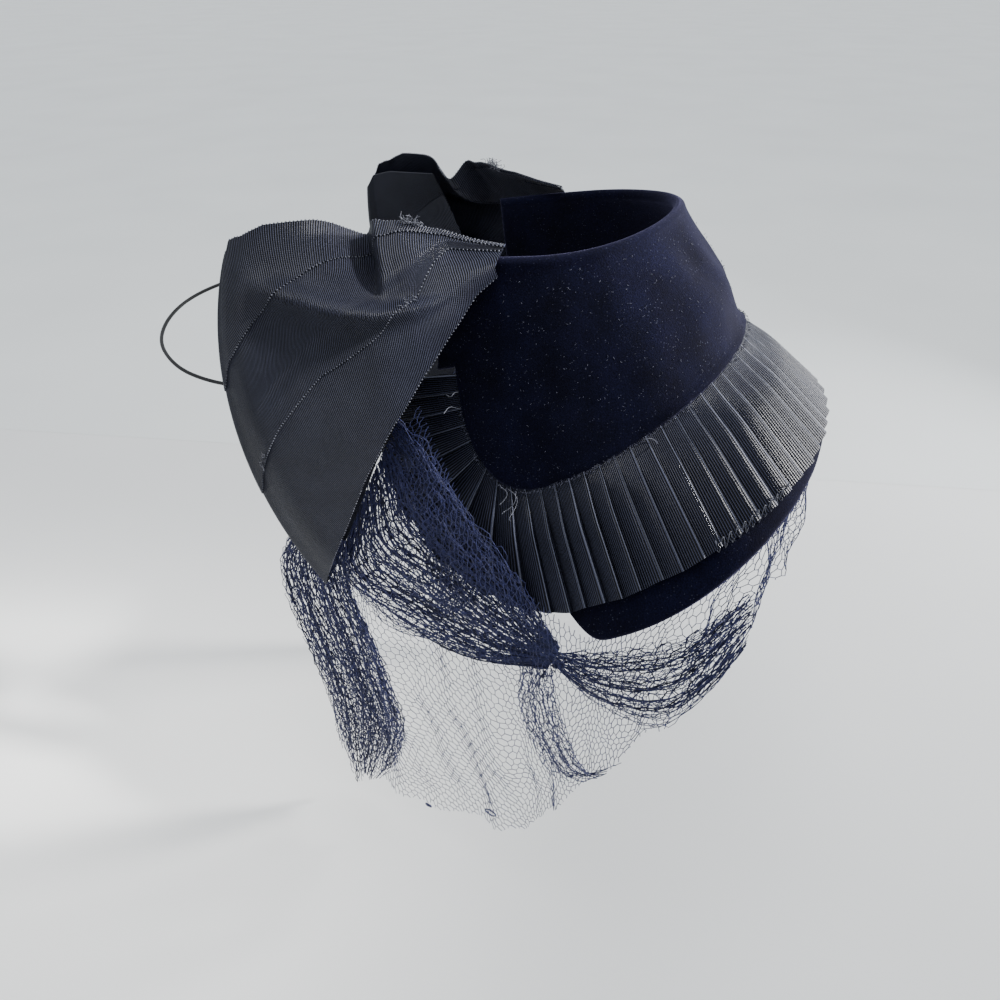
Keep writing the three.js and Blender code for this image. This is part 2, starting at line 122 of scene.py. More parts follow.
# Soft unevenness of cloth: a few slow waves in mixed directions, the same each run
def unevenness(points, seed, size, octaves=3):
    rng = np.random.default_rng(seed)
    points = np.asarray(points, float)
    total = np.zeros(points.shape[:-1])
    for octave in range(octaves):
        finer = 1.7 ** octave
        for _ in range(4):
            way = unit(rng.normal(size=3))
            total += np.sin(points @ way * (2 * math.pi * finer / size) + rng.uniform(0, 6.28)) / finer
    return total / 4


# Camera, at the photograph's own angle
cameraView = {
    "place": (-0.36327, -0.05365, 0.19418),
    "right": (0.29766786, -0.95466634, -0.00245225),
    "up": (0.56040611, 0.17265563, 0.81002162),
    "back": (-0.77287698, -0.24249166, 0.58639489),
    "lens": 27.036,
}
clearSelection()
bpy.ops.object.camera_add(location=cameraView["place"])
camera = bpy.context.object
camera.name = "camera"
cameraTurn = zip(cameraView["right"], cameraView["up"], cameraView["back"])
cameraRows = [[*row, place] for row, place in zip(cameraTurn, cameraView["place"])]
camera.matrix_world = Matrix(cameraRows + [[0, 0, 0, 1]])
camera.data.lens = cameraView["lens"]
camera.data.sensor_width = 36
camera.data.clip_start = 0.01
bpy.context.scene.camera = camera


# Elastic, one loop round the back of the head
elasticCord = {
    "diameter": 0.002,
    "points": 220,
    "route": [
        (-0.0577, 0.07405, 0.0453), (-0.062, 0.092, 0.041), (-0.069, 0.116, 0.0335), (-0.073, 0.15, 0.022),
        (-0.071, 0.184, 0.015), (-0.066, 0.215, 0.016), (-0.05, 0.24, 0.019), (-0.026, 0.256, 0.021),
        (0, 0.261, 0.024), (0.026, 0.256, 0.026), (0.05, 0.24, 0.028), (0.066, 0.215, 0.03),
        (0.071, 0.184, 0.032), (0.073, 0.15, 0.035), (0.069, 0.116, 0.0395), (0.062, 0.092, 0.0435),
        (0.0577, 0.07405, 0.0453),
    ],
}


# Even points on a smooth line through the given ones
def smoothLine(points, count):
    points = np.asarray(points, float)
    ends = np.vstack([2 * points[0] - points[1], points, 2 * points[-1] - points[-2]])
    line = []
    for index in range(len(points) - 1):
        a, b, c, d = ends[index:index + 4]
        t = np.linspace(0, 1, 24, endpoint=False)[:, None]
        line.append(0.5 * (
            2 * b + (c - a) * t + (2 * a - 5 * b + 4 * c - d) * t ** 2 + (3 * b - a - 3 * c + d) * t ** 3
        ))
    line = np.vstack([*line, points[-1:]])
    gone = np.concatenate([[0], np.cumsum(np.linalg.norm(np.diff(line, axis=0), axis=1))])
    even = np.linspace(0, gone[-1], count)
    return np.stack([np.interp(even, gone, line[:, axis]) for axis in range(3)], -1), gone[-1]


# Threads and cords: one mesh from many lines of points
def threadPiece(name, lines, thickness, sides=0):
    clearSelection()
    bpy.ops.curve.primitive_nurbs_path_add(location=(0, 0, 0))
    piece = bpy.context.object
    piece.name = name
    curve = piece.data
    curve.splines.clear()
    curve.dimensions = "3D"
    curve.bevel_depth = thickness / 2
    curve.bevel_resolution = sides
    curve.use_fill_caps = True
    curve.twist_mode = "MINIMUM"
    for line in lines:
        spline = curve.splines.new("POLY")
        spline.points.add(len(line) - 1)
        spline.points.foreach_set("co", np.column_stack([line, np.ones(len(line))]).ravel())
    pick(piece)
    bpy.ops.object.convert(target="MESH")
    return bpy.context.object


elasticLine, elasticLength = smoothLine(elasticCord["route"], elasticCord["points"])
elastic = threadPiece("elastic_cord", [elasticLine], elasticCord["diameter"], sides=3)
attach(elastic, "root")
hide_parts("elastic")
print("camera and elastic made")


# Shapes shared by the pieces
def ringPoint(ring, angle):
    angle = np.asarray(angle, float)
    size = np.abs(angle)
    turn = np.radians(np.minimum(size, 90))
    past = np.radians(np.maximum(size - 90, 0))
    x = np.sign(angle) * ring["halfWidth"] * np.sin(turn) * np.cos(past * sideTaper)
    along = ring["halfLength"] * (past - np.cos(turn))
    tilt = math.radians(ring["tilt"])
    y = ring["centreY"] + along * math.cos(tilt)
    return np.stack([x, y, ring["centreZ"] - along * math.sin(tilt)], -1)


crown = {
    "wall": 0.003, "rollRadius": 0.0029, "rollReach": 34, "backAngle": 148, "hemBackAngle": 136,
    "cornerAngle": 98, "backShare": 0.42, "tabLift": 0.03, "cornerStep": 0.78, "frontBulge": 0.0068,
    "bulgeSpan": 48, "rollFrom": 0.42, "rollTo": 0.58, "across": 240, "around": 84,
}
crownCreases = [
    {"angle": -14, "share": 0.42, "spanAngle": 7, "spanShare": 0.34, "lean": 22, "depth": 0.5},
    {"angle": 6, "share": 0.55, "spanAngle": 6, "spanShare": 0.3, "lean": 26, "depth": 0.42},
    {"angle": -40, "share": 0.6, "spanAngle": 10, "spanShare": 0.25, "lean": -14, "depth": 0.3},
    {"angle": 30, "share": 0.5, "spanAngle": 9, "spanShare": 0.3, "lean": 18, "depth": 0.36},
    {"angle": -78, "share": 0.72, "spanAngle": 9, "spanShare": 0.16, "lean": 10, "depth": 0.28},
]


def crownPoint(angle, share):
    return lerp(ringPoint(rim, angle), ringPoint(base, angle), share)


def crownNormal(angle, share):
    across = crownPoint(angle + 0.5, share) - crownPoint(angle - 0.5, share)
    down = ringPoint(base, angle) - ringPoint(rim, angle)
    return unit(np.cross(down, across))


def creaseDepth(angle, share):
    total = np.zeros(np.shape(angle))
    for crease in crownCreases:
        leaning = crease["lean"] * (share - crease["share"])
        offAngle = (angle - crease["angle"] - leaning) / crease["spanAngle"]
        offShare = (share - crease["share"]) / crease["spanShare"]
        total += crease["depth"] * crown["wall"] * np.exp(-offAngle ** 2 - offShare ** 2)
    return total


def frontBulge(angle, share):
    return crown["frontBulge"] * np.exp(-(angle / crown["bulgeSpan"]) ** 2) * (1 - smooth(share, 0.55, 0.97))


def footShare(angle):
    corner = crown["hemBackAngle"] - crown["cornerAngle"]
    past = np.maximum(0, np.abs(angle) - crown["cornerAngle"]) / corner
    onTab = np.abs(angle) > crown["hemBackAngle"]
    return mix(crown["backShare"], 1, np.sqrt(np.maximum(0, 1 - past ** 2))) - crown["tabLift"] * onTab


# The crown's foot: along the base ring, round the back corner and up to the back edge
def hemPlace(step):
    step = np.asarray(step, float)
    size = np.abs(step)
    turn = np.radians(np.clip((size - crown["cornerStep"]) / (1 - crown["cornerStep"]), 0, 1) * 90)
    front = step / crown["cornerStep"] * crown["cornerAngle"]
    past = np.sign(step) * mix(crown["cornerAngle"], crown["hemBackAngle"], np.sin(turn))
    onFront = size <= crown["cornerStep"]
    return np.where(onFront, front, past), np.where(onFront, 1.0, mix(crown["backShare"], 1, np.cos(turn)))


def hemPoint(step):
    angle, share = hemPlace(step)
    return crownPoint(angle, share)


def hemFrame(step):
    along = unit(hemPoint(np.minimum(1, step + 0.004)) - hemPoint(np.maximum(-1, step - 0.004)))
    angle, share = hemPlace(step)
    normal = crownNormal(angle, share)
    inFace = unit(np.cross(along, normal))
    flare = unit(ringPoint(brimEdge, angle) - ringPoint(base, angle))
    corner = np.maximum(0, np.abs(step) - crown["cornerStep"]) / (1 - crown["cornerStep"])
    out = unit(lerp(flare, inFace, 0.88 * smooth(corner, 0, 0.8)))
    up = unit(np.cross(out, along))
    up = up * np.where((up * normal).sum(-1) < 0, -1, 1)[..., None]
    return along, out, up


# A grid primitive laid onto a shape. place(u, v) gives the points and a map in millimetres / 100
def laidGrid(name, across, along, place):
    clearSelection()
    bpy.ops.mesh.primitive_grid_add(x_subdivisions=across, y_subdivisions=along, size=2, location=(0, 0, 0))
    piece = bpy.context.object
    piece.name = name
    mesh = piece.data
    flat = np.empty(len(mesh.vertices) * 3)
    mesh.vertices.foreach_get("co", flat)
    flat = flat.reshape(-1, 3)
    order = np.lexsort((flat[:, 0].round(5), flat[:, 1].round(5)))
    u = ((flat[order, 0] + 1) / 2).reshape(along + 1, across + 1)
    v = ((flat[order, 1] + 1) / 2).reshape(along + 1, across + 1)
    points, cloth = place(u, v)
    laid = np.empty_like(flat)
    laid[order] = points.reshape(-1, 3)
    mesh.vertices.foreach_set("co", laid.ravel())
    onCloth = np.empty((len(flat), 2))
    onCloth[order] = cloth.reshape(-1, 2)
    corner = np.empty(len(mesh.loops), int)
    mesh.loops.foreach_get("vertex_index", corner)
    layer = mesh.uv_layers[0] if mesh.uv_layers else mesh.uv_layers.new()
    layer.name = "clothMap"
    layer.data.foreach_set("uv", onCloth[corner].ravel())
    mesh.update()
    return piece


# Lengths along each line of a grid of points
def lengthAlong(points, axis):
    gaps = np.linalg.norm(np.diff(points, axis=axis), axis=-1)
    start = np.zeros_like(np.take(gaps, [0], axis=axis))
    return np.concatenate([start, np.cumsum(gaps, axis=axis)], axis=axis)


# Welds the seam of a form that was laid round on itself, closes its ends and turns it outwards
def closeForm(piece):
    pick(piece)
    bpy.ops.object.mode_set(mode="EDIT")
    bpy.ops.mesh.select_all(action="SELECT")
    bpy.ops.mesh.remove_doubles(threshold=2e-6)
    bpy.ops.mesh.select_all(action="DESELECT")
    bpy.ops.mesh.select_non_manifold(
        extend=False, use_wire=False, use_multi_face=False, use_non_contiguous=False, use_verts=False,
    )
    if piece.data.total_edge_sel:
        bpy.ops.mesh.fill(use_beauty=True)
    bpy.ops.mesh.select_all(action="SELECT")
    bpy.ops.mesh.normals_make_consistent(inside=False)
    bpy.ops.object.mode_set(mode="OBJECT")
    bpy.ops.object.shade_smooth()


def finishPiece(piece, node, material):
    piece.data.materials.clear()
    piece.data.materials.append(material)
    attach(piece, "root")
    if node:
        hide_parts(*([node] if isinstance(node, str) else node))


# Materials
def newMaterial(name):
    material = bpy.data.materials.new(name)
    material.use_nodes = True
    nodes = material.node_tree.nodes
    shader = nodes.get("Principled BSDF")
    return material, nodes, material.node_tree.links, shader


def addNode(nodes, kind, **values):
    node = nodes.new(kind)
    for key, value in values.items():
        setattr(node, key, value)
    return node


def mathNode(nodes, links, operation, first, second=None):
    node = addNode(nodes, "ShaderNodeMath", operation=operation)
    for socket, value in zip(node.inputs, (first, second)):
        if value is None:
            continue
        if isinstance(value, (int, float)):
            socket.default_value = value
        else:
            links.new(value, socket)
    return node.outputs[0]


def colourRamp(nodes, links, source, stops):
    ramp = addNode(nodes, "ShaderNodeValToRGB")
    while len(ramp.color_ramp.elements) < len(stops):
        ramp.color_ramp.elements.new(0.5)
    for element, (place, colour) in zip(ramp.color_ramp.elements, stops):
        element.position = place
        element.color = (*colour, 1)
    links.new(source, ramp.inputs[0])
    return ramp.outputs[0]


def noiseNode(nodes, links, vector, scale, detail=3, roughness=0.55):
    node = addNode(nodes, "ShaderNodeTexNoise")
    node.inputs["Scale"].default_value = scale
    node.inputs["Detail"].default_value = detail
    node.inputs["Roughness"].default_value = roughness
    links.new(vector, node.inputs["Vector"])
    return node.outputs[0]


def mixColour(nodes, links, share, first, second, blend="MIX"):
    node = addNode(nodes, "ShaderNodeMix", data_type="RGBA", blend_type=blend)
    for socket, value in ((node.inputs[0], share), (node.inputs[6], first), (node.inputs[7], second)):
        if isinstance(value, (int, float)):
            socket.default_value = value
        elif isinstance(value, tuple):
            socket.default_value = (*value, 1)
        else:
            links.new(value, socket)
    return node.outputs[2]


def bumpNode(nodes, links, height, strength, distance, onto=None):
    node = addNode(nodes, "ShaderNodeBump")
    node.inputs["Strength"].default_value = strength
    node.inputs["Distance"].default_value = distance
    links.new(height, node.inputs["Height"])
    if onto is not None:
        links.new(onto, node.inputs["Normal"])
    return node.outputs[0]


velvetLook = {
    "deep": (0.0009, 0.001, 0.0036), "pile": (0.0026, 0.0029, 0.0108), "lint": (0.05, 0.053, 0.078),
    "sheen": (0.42, 0.40, 0.78), "sheenAmount": 0.12,
}


def velvetMaterial():
    material, nodes, links, shader = newMaterial("velvet_pile")
    place = addNode(nodes, "ShaderNodeTexCoord").outputs["Object"]
    broad = noiseNode(nodes, links, place, 42, 4, 0.6)
    fine = noiseNode(nodes, links, place, 1500, 2, 0.7)
    colour = colourRamp(nodes, links, broad, [(0.32, velvetLook["deep"]), (0.7, velvetLook["pile"])])
    grain = colourRamp(nodes, links, fine, [(0.35, (0.45, 0.45, 0.5)), (0.72, (1.7, 1.7, 1.7))])
    colour = mixColour(nodes, links, 1.0, colour, grain, "MULTIPLY")
    specks = addNode(nodes, "ShaderNodeTexVoronoi", feature="F1")
    specks.inputs["Scale"].default_value = 640
    specks.inputs["Randomness"].default_value = 1
    links.new(place, specks.inputs["Vector"])
    patch = noiseNode(nodes, links, place, 60, 2, 0.5)
    dot = colourRamp(nodes, links, specks.outputs["Distance"], [(0.07, (1, 1, 1)), (0.16, (0, 0, 0))])
    here = colourRamp(nodes, links, patch, [(0.3, (0, 0, 0)), (0.62, (0.9, 0.9, 0.9))])
    share = mixColour(nodes, links, 1.0, dot, here, "MULTIPLY")
    colour = mixColour(nodes, links, share, colour, velvetLook["lint"])
    links.new(colour, shader.inputs["Base Color"])
    nap = bumpNode(nodes, links, broad, 0.25, 0.0012)
    nap = bumpNode(nodes, links, fine, 0.55, 0.0004, nap)
    links.new(nap, shader.inputs["Normal"])
    shader.inputs["Roughness"].default_value = 0.95
    shader.inputs["Specular IOR Level"].default_value = 0.05
    shader.inputs["Sheen Weight"].default_value = velvetLook["sheenAmount"]
    shader.inputs["Sheen Roughness"].default_value = 0.42
    shader.inputs["Sheen Tint"].default_value = (*velvetLook["sheen"], 1)
    return material


# Ribbed ribbon: ribs repeat along the first axis of the cloth's own map; the colour across each rib is painted
# shade in the grooves and painted highlight on the rib tops
def ribbonMaterial(name, look):
    material, nodes, links, shader = newMaterial(name)
    cloth = addNode(nodes, "ShaderNodeUVMap", uv_map="clothMap").outputs[0]
    place = addNode(nodes, "ShaderNodeTexCoord").outputs["Object"]
    split = addNode(nodes, "ShaderNodeSeparateXYZ")
    links.new(cloth, split.inputs[0])
    drift = noiseNode(nodes, links, place, 160, 3, 0.6)
    wobble = mathNode(nodes, links, "MULTIPLY", drift, look["wobble"])
    phase = mathNode(nodes, links, "MULTIPLY", split.outputs[0], 2 * math.pi * 0.1 / look["ribPitch"])
    phase = mathNode(nodes, links, "ADD", phase, wobble)
    rib = mathNode(nodes, links, "SINE", phase)
    rib = mathNode(nodes, links, "MULTIPLY", rib, 0.5)
    rib = mathNode(nodes, links, "ADD", rib, 0.5)
    # short weft floats along each rib
    weftPhase = mathNode(nodes, links, "MULTIPLY", split.outputs[1], 2 * math.pi * 0.1 / look["weftPitch"])
    weft = mathNode(nodes, links, "SINE", weftPhase)
    fine = noiseNode(nodes, links, place, 2600, 2, 0.6)
    broad = noiseNode(nodes, links, place, 48, 3, 0.6)
    # painted shade and highlight: near-black in the rib grooves, light on the rib tops, laid over the bump
    ribShadeStops = [(0.4, look["grooveShade"]), (0.68, look["middle"]), (0.94, look["ridge"])]
    ribShading = colourRamp(nodes, links, rib, ribShadeStops)
    fade = colourRamp(nodes, links, broad, [(0.3, (0.72, 0.72, 0.76)), (0.72, (1.25, 1.25, 1.22))])
    colour = mixColour(nodes, links, 1.0, ribShading, fade, "MULTIPLY")
    speck = colourRamp(nodes, links, fine, [(0.3, (0.74, 0.74, 0.74)), (0.75, (1.3, 1.3, 1.3))])
    colour = mixColour(nodes, links, 1.0, colour, speck, "MULTIPLY")
    # painted highlight: a thin light line along each pleat's fold edge, where the edge catches the light
    if look["fold"]:
        place = mathNode(nodes, links, "MODULO", split.outputs[0], look["foldPeriod"])
        place = mathNode(nodes, links, "DIVIDE", place, look["foldPeriod"])
        edge = colourRamp(nodes, links, place, [
            (0.0, (1, 1, 1)), (0.02, (0.6, 0.6, 0.6)), (0.036, (0, 0, 0)), (0.99, (0, 0, 0)), (1.0, (1, 1, 1)),
        ])
        colour = mixColour(nodes, links, edge, colour, look["fold"])
    links.new(colour, shader.inputs["Base Color"])
    height = mathNode(nodes, links, "MULTIPLY", weft, 0.06)
    height = mathNode(nodes, links, "ADD", rib, height)
    height = mathNode(nodes, links, "ADD", height, mathNode(nodes, links, "MULTIPLY", fine, 0.16))
    links.new(bumpNode(nodes, links, height, look["bump"], 0.0004), shader.inputs["Normal"])
    shader.inputs["Roughness"].default_value = look["roughness"]
    shader.inputs["Specular IOR Level"].default_value = look["gloss"]
    shader.inputs["Sheen Weight"].default_value = look["sheen"]
    shader.inputs["Sheen Roughness"].default_value = 0.5
    shader.inputs["Sheen Tint"].default_value = (0.75, 0.78, 1.0, 1)
    return material


# the rib colours run from painted shade in the grooves, through the middle tone, to painted highlight on the
# rib tops
bowLook = {
    "ribPitch": 0.00105, "weftPitch": 0.0009, "wobble": 1.2, "bump": 1.0,
    "roughness": 0.45, "gloss": 0.14, "sheen": 0.01,
    "grooveShade": (0.0003, 0.0004, 0.0012), "middle": (0.0018, 0.0022, 0.0054), "ridge": (0.041, 0.045, 0.074),
    "fold": None,
}
ruffleLook = {
    "ribPitch": 0.0013, "weftPitch": 0.001, "wobble": 1.6, "bump": 1.0,
    "roughness": 0.42, "gloss": 0.14, "sheen": 0.01,
    "grooveShade": (0.0004, 0.0005, 0.0016), "middle": (0.002, 0.0024, 0.0062), "ridge": (0.034, 0.038, 0.068),
    # fold: colour of the painted highlight along each pleat's fold edge
    "fold": (0.1, 0.108, 0.15), "foldPeriod": (0.0081 * 1.62 + 0.0035) * 10,
}


def threadMaterial(name, dark, light, roughness, grainScale):
    material, nodes, links, shader = newMaterial(name)
    place = addNode(nodes, "ShaderNodeTexCoord").outputs["Object"]
    grain = noiseNode(nodes, links, place, grainScale, 3, 0.65)
    links.new(colourRamp(nodes, links, grain, [(0.3, dark), (0.72, light)]), shader.inputs["Base Color"])
    links.new(bumpNode(nodes, links, grain, 0.5, 0.0002), shader.inputs["Normal"])
    shader.inputs["Roughness"].default_value = roughness
    shader.inputs["Specular IOR Level"].default_value = 0.3
    return material


velvet = velvetMaterial()
bowRibbon = ribbonMaterial("grosgrain_bow", bowLook)
ruffleRibbon = ribbonMaterial("grosgrain_pleats", ruffleLook)
netThread = threadMaterial("net_thread", (0.007, 0.008, 0.028), (0.036, 0.042, 0.14), 0.5, 900)
netShade = threadMaterial("net_shade", (0.002, 0.0025, 0.011), (0.012, 0.014, 0.055), 0.6, 700)
lintThread = threadMaterial("velvet_lint", (0.012, 0.013, 0.026), (0.07, 0.073, 0.105), 0.7, 1200)
picotThread = threadMaterial("picot_thread", (0.02, 0.021, 0.03), (0.13, 0.135, 0.165), 0.5, 1400)
elasticLook = threadMaterial("elastic_braid", (0.0012, 0.0012, 0.0015), (0.012, 0.012, 0.014), 0.55, 1100)
elastic.data.materials.append(elasticLook)
print("materials made")


# Velvet crown, a band with a rolled rim and a turned foot
def crownSkin(u, v):
    step = mix(-1, 1, u)
    angle = crown["backAngle"] * np.sign(step) * (1 - (1 - np.abs(step)) ** 1.12)
    height = np.linalg.norm(ringPoint(rim, angle) - ringPoint(base, angle), axis=-1)
    foot = footShare(angle)
    radius, wall = crown["rollRadius"], crown["wall"]
    # round the section: up the outside, over the rim and down the inside
    outside = np.clip(v / crown["rollFrom"], 0, 1)
    roll = np.clip((v - crown["rollFrom"]) / (crown["rollTo"] - crown["rollFrom"]), 0, 1)
    inside = np.clip((v - crown["rollTo"]) / (1 - crown["rollTo"]), 0, 1)
    turn = np.radians(mix(-crown["rollReach"], 180 + crown["rollReach"], roll))
    rollShare = radius * (1 - np.sin(turn)) / height
    rollOffset = -wall / 2 + radius * np.cos(turn)
    start = radius * (1 + math.sin(math.radians(crown["rollReach"]))) / height
    down = np.where(v < 0.5, 1 - outside, inside)
    wallShare = mix(start, foot, down)
    # the lip eases from the roll into the wall within a few millimetres, and the foot turns under
    lip = np.exp(-down * (foot - start) * height / 0.004)
    fromFoot = (1 - down) * (foot - start) * height
    lump = 1 + 0.45 * unevenness(crownPoint(angle, wallShare), 8, 0.018)
    turned = 0.0015 * np.exp(-(fromFoot / 0.0008) ** 2)
    turned = turned - 0.0009 * lump * np.exp(-((fromFoot - 0.0016) / 0.0016) ** 2)
    crease = creaseDepth(angle, wallShare) + 0.0004 * unevenness(crownPoint(angle, wallShare), 4, 0.05)
    lipDepth = (radius * math.cos(math.radians(crown["rollReach"])) - wall / 2) * lip
    outOffset = lipDepth - crease - turned
    inOffset = -wall - lipDepth - crease + np.maximum(turned, 0)
    onRoll = (roll > 0) & (roll < 1)
    share = np.where(onRoll, rollShare, wallShare)
    offset = np.where(onRoll, rollOffset - crease * 0.3, np.where(v < 0.5, outOffset, inOffset))
    # both walls meet at the two back edges
    ends = np.sqrt(np.clip(1 - (1 - np.clip((1 - np.abs(step)) / 0.02, 0, 1)) ** 2, 0, 1))
    offset = -wall / 2 + (offset + wall / 2) * ends + frontBulge(angle, share)
    points = crownPoint(angle, share) + crownNormal(angle, share) * offset[..., None]
    cloth = np.stack([u * 3.2, v * 1.8], -1)
    return points, cloth


crownPiece = laidGrid("crown_velvet", crown["across"], crown["around"], crownSkin)


def foldShut(piece, across, along):
    # bridge the first and last lines of the grid, which are the two walls' feet
    pick(piece)
    mesh = piece.data
    bpy.ops.object.mode_set(mode="EDIT")
    bpy.ops.mesh.select_all(action="DESELECT")
    bpy.ops.object.mode_set(mode="OBJECT")
    order = np.arange(len(mesh.vertices)).reshape(along + 1, across + 1)
    chosen = np.zeros(len(mesh.vertices), bool)
    chosen[order[0]] = True
    chosen[order[-1]] = True
    for edge in mesh.edges:
        a, b = edge.vertices
        edge.select = bool(chosen[a] and chosen[b])
    bpy.ops.object.mode_set(mode="EDIT")
    bpy.ops.mesh.select_mode(type="EDGE")
    bpy.ops.mesh.bridge_edge_loops()
    bpy.ops.mesh.select_mode(type="VERT")
    bpy.ops.object.mode_set(mode="OBJECT")


foldShut(crownPiece, crown["across"], crown["around"])
closeForm(crownPiece)
finishPiece(crownPiece, "crown_band", velvet)
print("crown made")


# Velvet brim under the pleats
brim = {"wall": 0.0024, "backAngle": 114, "taperAngle": 92, "backDip": 0.0022, "across": 200, "around": 60}
pleats = {
    "width": 0.058, "pitch": 0.0081, "height": 0.0036, "overlap": 0.0009, "wall": 0.001, "rootHeight": 0.0009,
    "rootOverlap": 0.0002, "tuck": -0.0014, "rise": 0.45, "cloth": 0.0006, "faceColumns": 9,
    "backColumns": 3, "rows": 30, "faceShare": 1.62, "backFlat": 0.0035,
    "flatLength": 0.86,
}


def brimPoint(angle, share):
    taper = smooth(np.abs(angle), brim["taperAngle"], brim["backAngle"])
    return lerp(ringPoint(base, angle), ringPoint(brimEdge, angle), share * mix(1, 0.45, taper * taper))


def brimDip(angle):
    return brim["backDip"] * smooth(np.abs(angle), brim["taperAngle"], brim["backAngle"])


def brimNormal(angle, share):
    across = brimPoint(angle + 0.5, share) - brimPoint(angle - 0.5, share)
    out = ringPoint(brimEdge, angle) - ringPoint(base, angle)
    return unit(np.cross(out, across))


def brimSkin(u, v):
    angle = mix(-brim["backAngle"], brim["backAngle"], u)
    span = np.abs(1 - 2 * v)
    share = mix(1, 0.02, span ** 1.25)
    side = np.where(v < 0.5, 1.0, -1.0)
    edge = np.sqrt(np.clip(1 - (1 - np.clip((1 - share) / 0.03, 0, 1)) ** 2, 0, 1))
    half = brim["wall"] / 2 * edge
    ends = np.sqrt(np.clip(1 - (1 - np.clip(np.minimum(u, 1 - u) / 0.008, 0, 1)) ** 2, 0, 1))
    depth = pleats["rootHeight"] + pleats["wall"] + clearance + brim["wall"] / 2 + brimDip(angle) * share
    soft = 0.0005 * unevenness(brimPoint(angle, share), 9, 0.06) * share
    height = side * half * ends - depth - soft
    points = brimPoint(angle, share) + brimNormal(angle, share) * height[..., None]
    return points, np.stack([u * 4, v * 1.6], -1)


brimPiece = laidGrid("brim_velvet", brim["across"], brim["around"], brimSkin)
foldShut(brimPiece, brim["across"], brim["around"])
closeForm(brimPiece)
finishPiece(brimPiece, "brim", velvet)
print("brim made")


# Ribbed ribbon laid in knife pleats round the crown's foot
def pleatSteps():
    fine = np.linspace(-1, 1, 601)
    points = hemPoint(fine)
    gone = np.concatenate([[0], np.cumsum(np.linalg.norm(np.diff(points, axis=0), axis=1))])
    count = round(gone[-1] / pleats["pitch"])
    return np.interp(np.linspace(0, gone[-1], count + 1), gone, fine)


pleatPlaces = pleatSteps()[::-1]
pleatCount = len(pleatPlaces) - 1
pleatFrames = [hemPoint(pleatPlaces), *hemFrame(pleatPlaces)]
pleatFrames[1] = -pleatFrames[1]
pleatLuck = np.random.default_rng(21).uniform(-1, 1, (4, pleatCount + 1))


def ruffleSkin(u, v):
    perPleat = pleats["faceColumns"] + pleats["backColumns"]
    column = np.rint(u * pleatCount * perPleat).astype(int)
    index = np.minimum(column // perPleat, pleatCount - 1)
    part = column - index * perPleat
    share = v
    length = mix(pleats["tuck"], pleats["width"], share)
    ease = smooth(share, 0, pleats["rise"])

    def corner(at, isTip):
        point, along, out, up = (values[at] for values in pleatFrames)
        height = mix(pleats["rootHeight"], pleats["height"] * (1 + 0.16 * pleatLuck[0][at]), ease)
        overlap = mix(pleats["rootOverlap"], pleats["overlap"] * (1 + 0.5 * pleatLuck[1][at]), ease)
        slip = 0.0007 * pleatLuck[2][at] * share
        reach = length + 0.0006 * pleatLuck[3][at] * share ** 4
        rise = 0.0006 - pleats["rootHeight"] - pleats["wall"] + (height if isTip else 0)
        sideways = slip + (0 if isTip else overlap)
        place = point + out * reach[..., None] + along * np.asarray(sideways)[..., None]
        return place + up * np.asarray(rise)[..., None], up

    tip, up = corner(index, True)
    foot, nextUp = corner(index + 1, False)
    nextTip, _ = corner(index + 1, True)
    onFace = np.clip(part / pleats["faceColumns"], 0, 1)
    onBack = np.clip((part - pleats["faceColumns"]) / pleats["backColumns"], 0, 1)
    face = lerp(tip, foot, onFace) + up * (0.0007 * ease * np.sin(np.pi * onFace ** 0.6))[..., None]
    points = np.where((part <= pleats["faceColumns"])[..., None], face, lerp(foot, nextTip, onBack))
    face, back = pleats["pitch"] * pleats["faceShare"], pleats["backFlat"]
    cloth = (index * (face + back) + onFace * face + onBack * back) * 10
    return points, np.stack([cloth, v * pleats["width"] * 10], -1)


ruffleColumns = pleatCount * (pleats["faceColumns"] + pleats["backColumns"])
rufflePiece = laidGrid("pleated_ribbon", ruffleColumns, pleats["rows"], ruffleSkin)
pick(rufflePiece)
thick = rufflePiece.modifiers.new("cloth", "SOLIDIFY")
thick.thickness = pleats["cloth"]
thick.offset = 0
applyModifiers(rufflePiece)
pick(rufflePiece)
bpy.ops.object.mode_set(mode="EDIT")
bpy.ops.mesh.select_all(action="SELECT")
bpy.ops.mesh.normals_make_consistent(inside=False)
bpy.ops.object.mode_set(mode="OBJECT")
bpy.ops.object.shade_smooth_by_angle(angle=math.radians(50))
finishPiece(rufflePiece, "pleated_ruffle", ruffleRibbon)
print("ruffle made, pleats:", pleatCount)


# Ribbon bows, three ribbons each
bow = {
    "hookAngle": 107, "length": 0.124, "drop": 0.182, "splay": 0.036, "fullness": 0.014, "backBulge": 0.018,
    "sidePuff": 0.004, "wall": 0.0015, "rowStep": 0.0007, "pinchDepth": 0.0135, "ridgeHeight": 0.007,
    "foldSharp": 0.034, "foldSoft": 0.068, "cloth": 0.0006, "underlap": 0.0014, "across": 30,
    "along": 150, "hiddenEnd": 0.6, "foldAt": 0.985, "ribbonWidth": 0.044,
}
bowSections = {
    "along": [0.0, 0.12, 0.25, 0.38, 0.5, 0.65, 0.8, 0.92, 1.0],
    "topOut": [-0.14, -0.12, -0.1, -0.08, -0.06, 0.0, 0.1, 0.2, 0.26],
    "topBack": [0.0, 0.1, 0.22, 0.35, 0.48, 0.67, 0.84, 0.94, 0.98],
    "topDown": [0.011, 0.0, -0.014, -0.014, -0.012, -0.008, -0.002, 0.018, 0.055],
    "lowOut": [0.16, 0.3, 0.5, 0.68, 0.78, 0.82, 0.83, 0.82, 0.8],
    "lowBack": [0.0, 0.06, 0.125, 0.21, 0.31, 0.44, 0.565, 0.665, 0.72],
    "lowDown": [0.047, 0.09, 0.165, 0.26, 0.38, 0.55, 0.75, 0.9, 0.985],
}
